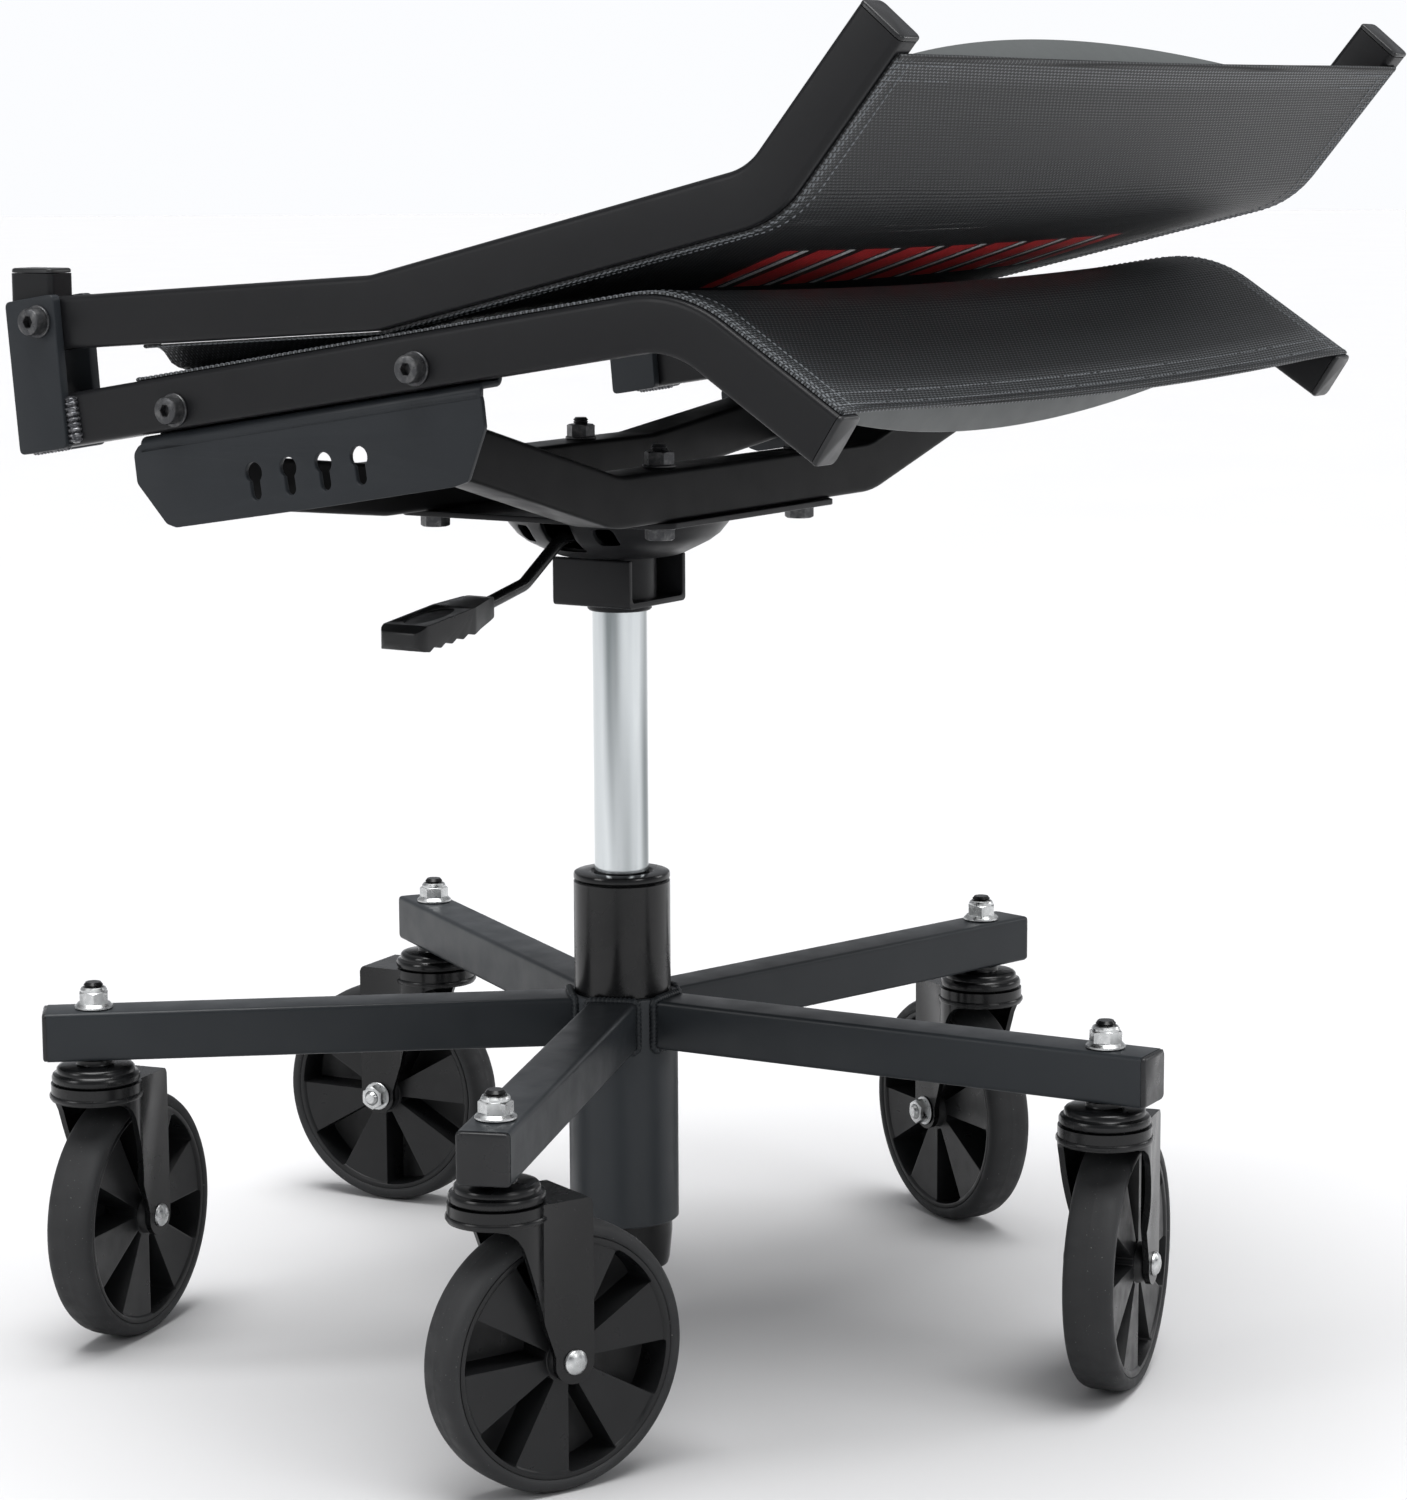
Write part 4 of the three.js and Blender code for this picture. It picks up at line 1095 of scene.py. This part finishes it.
def keyhole(forward, up, lean):
    """A round hole that runs into a narrower slot below it."""
    radius, half, depth = 4.9, 3.0, 12.6
    join = math.asin(half / radius)
    outline = []
    start, end = -math.pi / 2 + join, 3 * math.pi / 2 - join
    for k in range(25):
        a = start + (end - start) * k / 24
        outline.append((radius * math.cos(a), radius * math.sin(a)))
    for k in range(13):
        a = math.pi + math.pi * k / 12
        outline.append((half * math.cos(a), -(depth - half) + half * math.sin(a)))
    turn = Matrix.Rotation(lean, 2)
    return [tuple(turn @ Vector(p) + Vector((forward, up))) for p in outline]


def build_brackets():
    lean = math.atan2(SEAT_LINE[1][1] - SEAT_LINE[0][1], SEAT_LINE[1][0] - SEAT_LINE[0][0])
    slope = math.tan(lean)
    half_rail = RAIL["height"] / 2 / math.cos(lean)
    outer = RAIL["outer_x"]
    face_x, sheet = (outer - 5.4 + outer - 2.6) / 2, 2.8
    inner = outer - RAIL["thick"] - 0.3

    def under(forward):
        return SEAT_LINE[0][1] + (forward - SEAT_LINE[0][0]) * slope - half_rail - 0.4

    rear, front = -96.0, 100.5
    outline = BRACKET_FACE[1:-1] + [(front, under(front) - 4.0), (rear - 1, under(rear) - 4.0)]
    shape = round_corners(outline, 5.0, 6)
    holes = [keyhole(f, u, lean) for f, u in KEYHOLES]
    # across the seat: up the face, round onto the shelf, round up the flange
    run = [(face_x, -8.0), (face_x, -1.8), (inner - 1.4, -1.8), (inner - 1.4, 17.0)]
    for side, sign in (("left", 1), ("right", -1)):
        face = upright(plate("face", [shape] + holes, sheet, 0.45), SIDE, shift(sign * face_x))
        bent = bend_line(run, 2.6, 6)
        profile = [p + Vector((-w.y, w.x)) * 1.4 for p, w in bent]
        profile += [p - Vector((-w.y, w.x)) * 1.4 for p, w in reversed(bent)]
        outline = [(p.x, p.y) for p in profile]
        places = [lambda u, v: (sign * u, -rear, under(rear) + v),
                  lambda u, v: (sign * u, -front, under(front) + v)]
        shelf = sweep("shelf", outline, places, 35)
        bevelled(shelf, 0.4, 2, 60)
        finish_piece(joined(f"bracket_{side}", [face, shelf], 40), "bracket", "seat", f"side_bracket_{side}")


def build_straps():
    reach = RAIL["outer_x"] - RAIL["thick"] - 0.3
    thick, width = STRAP["thick"], STRAP["width"]
    for name, line, from_end, side in (("seat", SEAT_LINE, 45, -1), ("back", BACK_LINE, 42, 1)):
        end, before = Vector(line[-1]), Vector(line[-2])
        along = (end - before).normalized()
        away = Vector((-along.y, along.x)) * side
        origin = end - along * from_end
        outline = round_corners([(-thick / 2, -width / 2), (thick / 2, -width / 2),
                                 (thick / 2, width / 2), (-thick / 2, width / 2)], 1.0, 3)
        places = []
        for k in range(49):
            x = reach * (2 * k / 48 - 1)
            bow = STRAP["bow"] * (1 - (x / reach) ** 2)

            def place(u, v, x=x, bow=bow):
                f = origin + along * u + away * (bow + v)
                return (x, -f.x, f.y)
            places.append(place)
        strap = sweep(f"{name}_cross_strap", outline, places, 40)
        finish_piece(strap, "strap", name, f"{name}_strap")


# ---- the slings ---------------------------------------------------------
def resample(path, spacing):
    """Evenly spaced points and directions along a path, and its length."""
    pts = [p for p, _ in path]
    runs = [0.0]
    for a, b in zip(pts, pts[1:]):
        runs.append(runs[-1] + (b - a).length)
    count = max(8, int(runs[-1] / spacing))
    out = []
    for k in range(count + 1):
        goal = runs[-1] * k / count
        i = max(j for j in range(len(runs) - 1) if runs[j] <= goal + 1e-9)
        share = (goal - runs[i]) / (runs[i + 1] - runs[i])
        way = path[i][1].lerp(path[i + 1][1], share).normalized()
        out.append((pts[i].lerp(pts[i + 1], share), way))
    return out, runs[-1]


def sling_path(line, bend, end_gap):
    rear = SLING["rear"]
    share = (rear - line[0][0]) / (line[1][0] - line[0][0])
    start = (rear, line[0][1] + share * (line[1][1] - line[0][1]))
    path = trim_path(bend_line([start] + list(line[1:]), bend, 14), 0, end_gap)
    return resample(path, 5.0)


def build_sling(name, line, bend, end_gap, side, body, hang):
    """The mesh between two rails: pinned over them, hanging a little between."""
    path, length = sling_path(line, bend, end_gap)
    width = 2 * (RAIL["outer_x"] - hang["inset"])
    columns = 104
    lift = (RAIL["height"] / 2 + SLING["gap"] + SLING["thick"] / 2) * side
    rail_inner = RAIL["outer_x"] - RAIL["thick"] - 1.0
    verts, pins = [], []
    for j, (point, way) in enumerate(path):
        for i in range(columns + 1):
            x = width * (i / columns - 0.5)
            spot = point + Vector((-way.y, way.x)) * lift
            verts.append((x, -spot.x, spot.y))
            if abs(x) > rail_inner:
                pins.append(len(verts) - 1)
    stride = columns + 1
    faces = [[j * stride + i, j * stride + i + 1, (j + 1) * stride + i + 1, (j + 1) * stride + i]
             for j in range(len(path) - 1) for i in range(columns)]
    mesh = bpy.data.meshes.new(name)
    mesh.from_pydata([Vector(v) * MM for v in verts], [], faces)
    layer = mesh.uv_layers.new(name="cloth")
    for loop in mesh.loops:
        j, i = divmod(loop.vertex_index, stride)
        x, run = width * (i / columns - 0.5), length * j / (len(path) - 1)
        layer.data[loop.index].uv = (x * MM, run * MM)
    obj = new_object(name, mesh, 80)
    relax_cloth(obj, pins)
    let_hang(obj, path, length, width, columns, rail_inner, hang)
    solid = obj.modifiers.new("thickness", "SOLIDIFY")
    solid.thickness = SLING["thick"] * MM
    solid.offset = 0
    applied(obj)
    obj.data.shade_smooth()
    obj.data.set_sharp_from_angle(angle=math.radians(60))
    finish_piece(obj, name, body, f"{body}_sling")
    return obj, path, length, width


CLOTH_FRAMES = 18


def relax_cloth(obj, pins):
    """Lets the mesh settle under its own weight between its pinned sides."""
    group = obj.vertex_groups.new(name="held")
    group.add(pins, 1.0, "REPLACE")
    cloth = obj.modifiers.new("cloth", "CLOTH")
    cloth.settings.quality = 6
    cloth.settings.mass = 0.15
    cloth.settings.air_damping = 8
    cloth.settings.tension_stiffness = 400
    cloth.settings.compression_stiffness = 400
    cloth.settings.shear_stiffness = 120
    cloth.settings.bending_stiffness = 6
    cloth.settings.vertex_group_mass = "held"
    cloth.collision_settings.use_collision = False
    scene = bpy.context.scene
    before = [v.co.copy() for v in obj.data.vertices]
    for step in range(CLOTH_FRAMES):
        scene.frame_set(step + 1)
    seen = obj.evaluated_get(bpy.context.evaluated_depsgraph_get())
    after = [v.co.copy() for v in seen.data.vertices]
    obj.modifiers.clear()
    obj.vertex_groups.clear()
    deepest = max((new - old).length for old, new in zip(before, after))
    share = min(1.0, SLING["settle"] * MM / max(deepest, 1e-9))
    for vert, old, new in zip(obj.data.vertices, before, after):
        vert.co = old.lerp(new, share)
    scene.frame_set(1)


def let_hang(obj, path, length, width, columns, rail_inner, hang):
    """Lets the middle hang, and the loose rear drop steeply beside each rail."""
    stride = columns + 1
    for index, vert in enumerate(obj.data.vertices):
        j, i = divmod(index, stride)
        x = width * (i / columns - 0.5)
        vert.co.z -= sag(x, length * j / (len(path) - 1), length, rail_inner, hang) * MM


def sag(x, run, length, rail_inner, hang):
    """How far the mesh hangs below its rails at a point, in millimetres."""
    inside = max(0.0, rail_inner - abs(x))
    bowl = 1 - min(1, abs(x) / rail_inner) ** 2
    front = math.exp(-(length - run) / 45.0)
    loose = max(0.0, 1 - run / hang["loose_run"]) ** 0.8
    drop = hang["drop"] * loose * (1 - math.exp(-inside / 6.0))
    return bowl * (hang["middle"] + hang["front"] * front) + drop


def edge_point(path, run, length, lift, x):
    share = min(max(run / length, 0), 1) * (len(path) - 1)
    j = min(int(share), len(path) - 2)
    point = path[j][0].lerp(path[j + 1][0], share - j)
    way = path[j][1].lerp(path[j + 1][1], share - j).normalized()
    spot = point + Vector((-way.y, way.x)) * lift
    return Vector((x, -spot.x, spot.y)), Vector((0, -way.x, way.y))


def stitches(name, spots, length, radius, body):
    """Short thread loops, one at each spot along its direction."""
    verts, faces = [], []
    for spot, way, normal in spots:
        across = way.cross(normal).normalized()
        rows = [(-0.5, 0.3), (-0.25, 0.9), (0.25, 0.9), (0.5, 0.3)]
        base = len(verts)
        for t, s in rows:
            for k in range(6):
                a = TURN * k / 6
                offset = across * math.cos(a) * radius * s + normal * math.sin(a) * radius * s
                verts.append(tuple(spot + way * (t * length) + offset))
        for r in range(3):
            for k in range(6):
                n = (k + 1) % 6
                low, high = base + r * 6, base + (r + 1) * 6
                faces.append([low + k, low + n, high + n, high + k])
        faces.append([base + k for k in range(6)][::-1])
        faces.append([base + 18 + k for k in range(6)])
    obj = new_object(name, mesh_from(name, verts, faces), 80)
    finish_piece(obj, "thread", body)
    return obj


def surface_reader(obj):
    """Finds the nearest point and normal of a sling's face."""
    def read(point, outward):
        found, spot, normal, _ = obj.closest_point_on_mesh(point * MM)
        if not found:
            return point, outward
        if normal.dot(outward) < 0:
            normal = -normal
        return spot / MM, normal.normalized()
    return read


def sew(name, obj, path, length, width, side, body, rng):
    """Rows of thread along the two rails and across both hems."""
    read = surface_reader(obj)
    lift = (RAIL["height"] / 2 + SLING["gap"] + SLING["thick"]) * side
    spots = []
    outward = Vector((0, 0, side))
    count = int(length / SEAM["edge_step"])
    for inset in SEAM["rows"]:
        for sign in (-1, 1):
            for k in range(count):
                run = length * (k + 0.5) / count
                point, way = edge_point(path, run, length, lift, sign * (width / 2 - inset))
                spot, normal = read(point, outward)
                spots.append((spot, way, normal))
    edge = stitches(f"{name}_edge_thread", spots, 2.2, 0.55, body)
    spots = []
    hem = SLING["hem"]
    count = int(width / SEAM["hem_step"])
    for run in (hem * 0.35, hem, length - hem, length - hem * 0.35):
        for k in range(count):
            if rng.random() < SEAM["missed"]:
                continue
            x = width * ((k + 0.5) / count - 0.5) * 0.985
            point, _ = edge_point(path, run, length, lift, x)
            spot, normal = read(point, outward)
            spots.append((spot, Vector((1, 0, 0)), normal))
    return [edge, stitches(f"{name}_hem_thread", spots, 2.3, 0.5, body)]


def hem_roll(name, obj, path, length, width, run, side, body):
    """The folded edge: a slim rolled lip that follows the sling's own edge."""
    read = surface_reader(obj)
    lift = (RAIL["height"] / 2 + SLING["gap"] + SLING["thick"] / 2) * side
    points = []
    for k in range(61):
        x = width * (k / 60 - 0.5) * 0.995
        point, way = edge_point(path, run, length, lift, x)
        spot, _ = read(point, Vector((0, 0, side)))
        points.append(Vector((x, spot.y, spot.z)))
    inward = way if run < length / 2 else -way
    outline = [(u * 1.9, v * 1.05) for u, v in circle(1.0, 14)]
    places = []
    for point in points:
        def place(u, v, p=point):
            return tuple(p + inward * (u + 0.6) + Vector((0, inward.z, -inward.y)) * v)
        places.append(place)
    lip = sweep(name, outline, places, 80)
    layer = lip.data.uv_layers.new(name="cloth")
    for loop in lip.data.loops:
        co = lip.data.vertices[loop.vertex_index].co
        layer.data[loop.index].uv = (co.x, co.z + co.y)
    finish_piece(lip, f"{body}_mesh", body)
    return lip


HANG = {   # millimetres: how each sling hangs, and how far inside the rails it ends
    "seat": {"middle": 4.0, "front": 0.6, "drop": 0.0, "loose_run": 1.0, "inset": 2.2},
    "back": {"middle": 3.0, "front": -2.8, "drop": 12.0, "loose_run": 125.0, "inset": 4.6},
}


def build_slings():
    rng = random.Random(7)
    for body, line, bend, gap, side, rail in (
            ("seat", SEAT_LINE, SEAT_BEND, 3, 1, "seat_tube"),
            ("back", BACK_LINE, BACK_BEND, 9, -1, "back_frame")):
        name = f"{body}_mesh"
        obj, path, length, width = build_sling(name, line, bend, gap, side, body, HANG[body])
        extras = sew(name, obj, path, length, width, side, body, rng)
        for end, run in (("rear", 0.0), ("front", length)):
            extras.append(hem_roll(f"{name}_{end}_roll", obj, path, length, width, run, side, body))


# ---- camera, light and floor --------------------------------------------
def build_camera():
    data = bpy.data.cameras.new("camera")
    data.lens = 94.97
    data.sensor_width = 36
    data.clip_end = 30
    camera = bpy.data.objects.new("camera", data)
    bpy.context.scene.collection.objects.link(camera)
    forward = Vector((0.8295, 0.5366, -0.1547)).normalized()
    level = Vector((0.5432, -0.8396, 0)).normalized()
    up = level.cross(forward)
    roll = math.radians(-0.285)
    right = level * math.cos(roll) + up * math.sin(roll)
    up = right.cross(forward)
    turn = Matrix((right, up, -forward)).transposed().to_4x4()
    camera.matrix_world = Matrix.Translation((-1.6663, -1.1287, 0.6214)) @ turn
    bpy.context.scene.camera = camera


def build_floor():
    reach = 90.0
    mesh = bpy.data.meshes.new("floor")
    mesh.from_pydata([(-reach, -reach, 0), (reach, -reach, 0), (reach, reach, 0), (-reach, reach, 0)], [],
                     [(0, 1, 2, 3)])
    paint = Paint("pale_floor", (0.56, 0.56, 0.565), 0.7, 0.0, Specular_IOR_Level=0.1)
    paint.rough(paint.span(paint.noise(3, 3), 0.3, 0.7, 0.65, 0.78))
    mesh.materials.append(paint.material)
    new_object("floor", mesh)


def build_world():
    """A room that is pale at the horizon, dim above it and lit overhead."""
    world = bpy.data.worlds.new("studio")
    bpy.context.scene.world = world
    world.use_nodes = True
    tree = world.node_tree
    place = tree.nodes.new("ShaderNodeTexCoord")
    split = tree.nodes.new("ShaderNodeSeparateXYZ")
    ramp = tree.nodes.new("ShaderNodeValToRGB")
    tree.links.new(place.outputs["Generated"], split.inputs["Vector"])
    tree.links.new(split.outputs["Z"], ramp.inputs["Fac"])
    tree.links.new(ramp.outputs["Color"], tree.nodes["Background"].inputs["Color"])
    stops = ramp.color_ramp.elements
    stops[0].position, stops[0].color = 0.05, (0.97, 0.98, 1.0, 1)
    stops[1].position, stops[1].color = 0.16, (0.3, 0.31, 0.33, 1)
    for position, grey in ((0.6, 0.3), (0.95, 0.7)):
        stops.new(position).color = (grey, grey, grey * 1.02, 1)


def build_lights():
    sun = bpy.data.lights.new("sky_panel", "SUN")
    sun.energy = 4.3
    sun.angle = math.radians(50)
    lamp = bpy.data.objects.new("sky_panel", sun)
    bpy.context.scene.collection.objects.link(lamp)
    lamp.rotation_euler = Vector((0.08, 0.1, -1)).to_track_quat("-Z", "Y").to_euler()
    middle = Vector((0, 0, 0.35))
    for name, place, size, power in (
            ("left", (-2.6, 1.3, 1.5), 1.0, 16), ("front", (-0.6, -2.8, 1.7), 0.9, 14),
            ("right", (2.2, -1.9, 1.3), 0.9, 12)):
        light = bpy.data.lights.new(name, "AREA")
        light.size = size
        light.energy = power
        lamp = bpy.data.objects.new(name, light)
        bpy.context.scene.collection.objects.link(lamp)
        lamp.location = place
        lamp.rotation_euler = (middle - Vector(place)).to_track_quat("-Z", "Y").to_euler()


def build_studio():
    bpy.context.scene.view_settings.view_transform = "Standard"
    build_floor()
    build_world()
    build_lights()


build_camera()
build_studio()
build_hub()
build_arms()
build_casters()
build_head()
build_carriers()
build_rails()
build_hinges()
build_brackets()
build_straps()
build_slings()
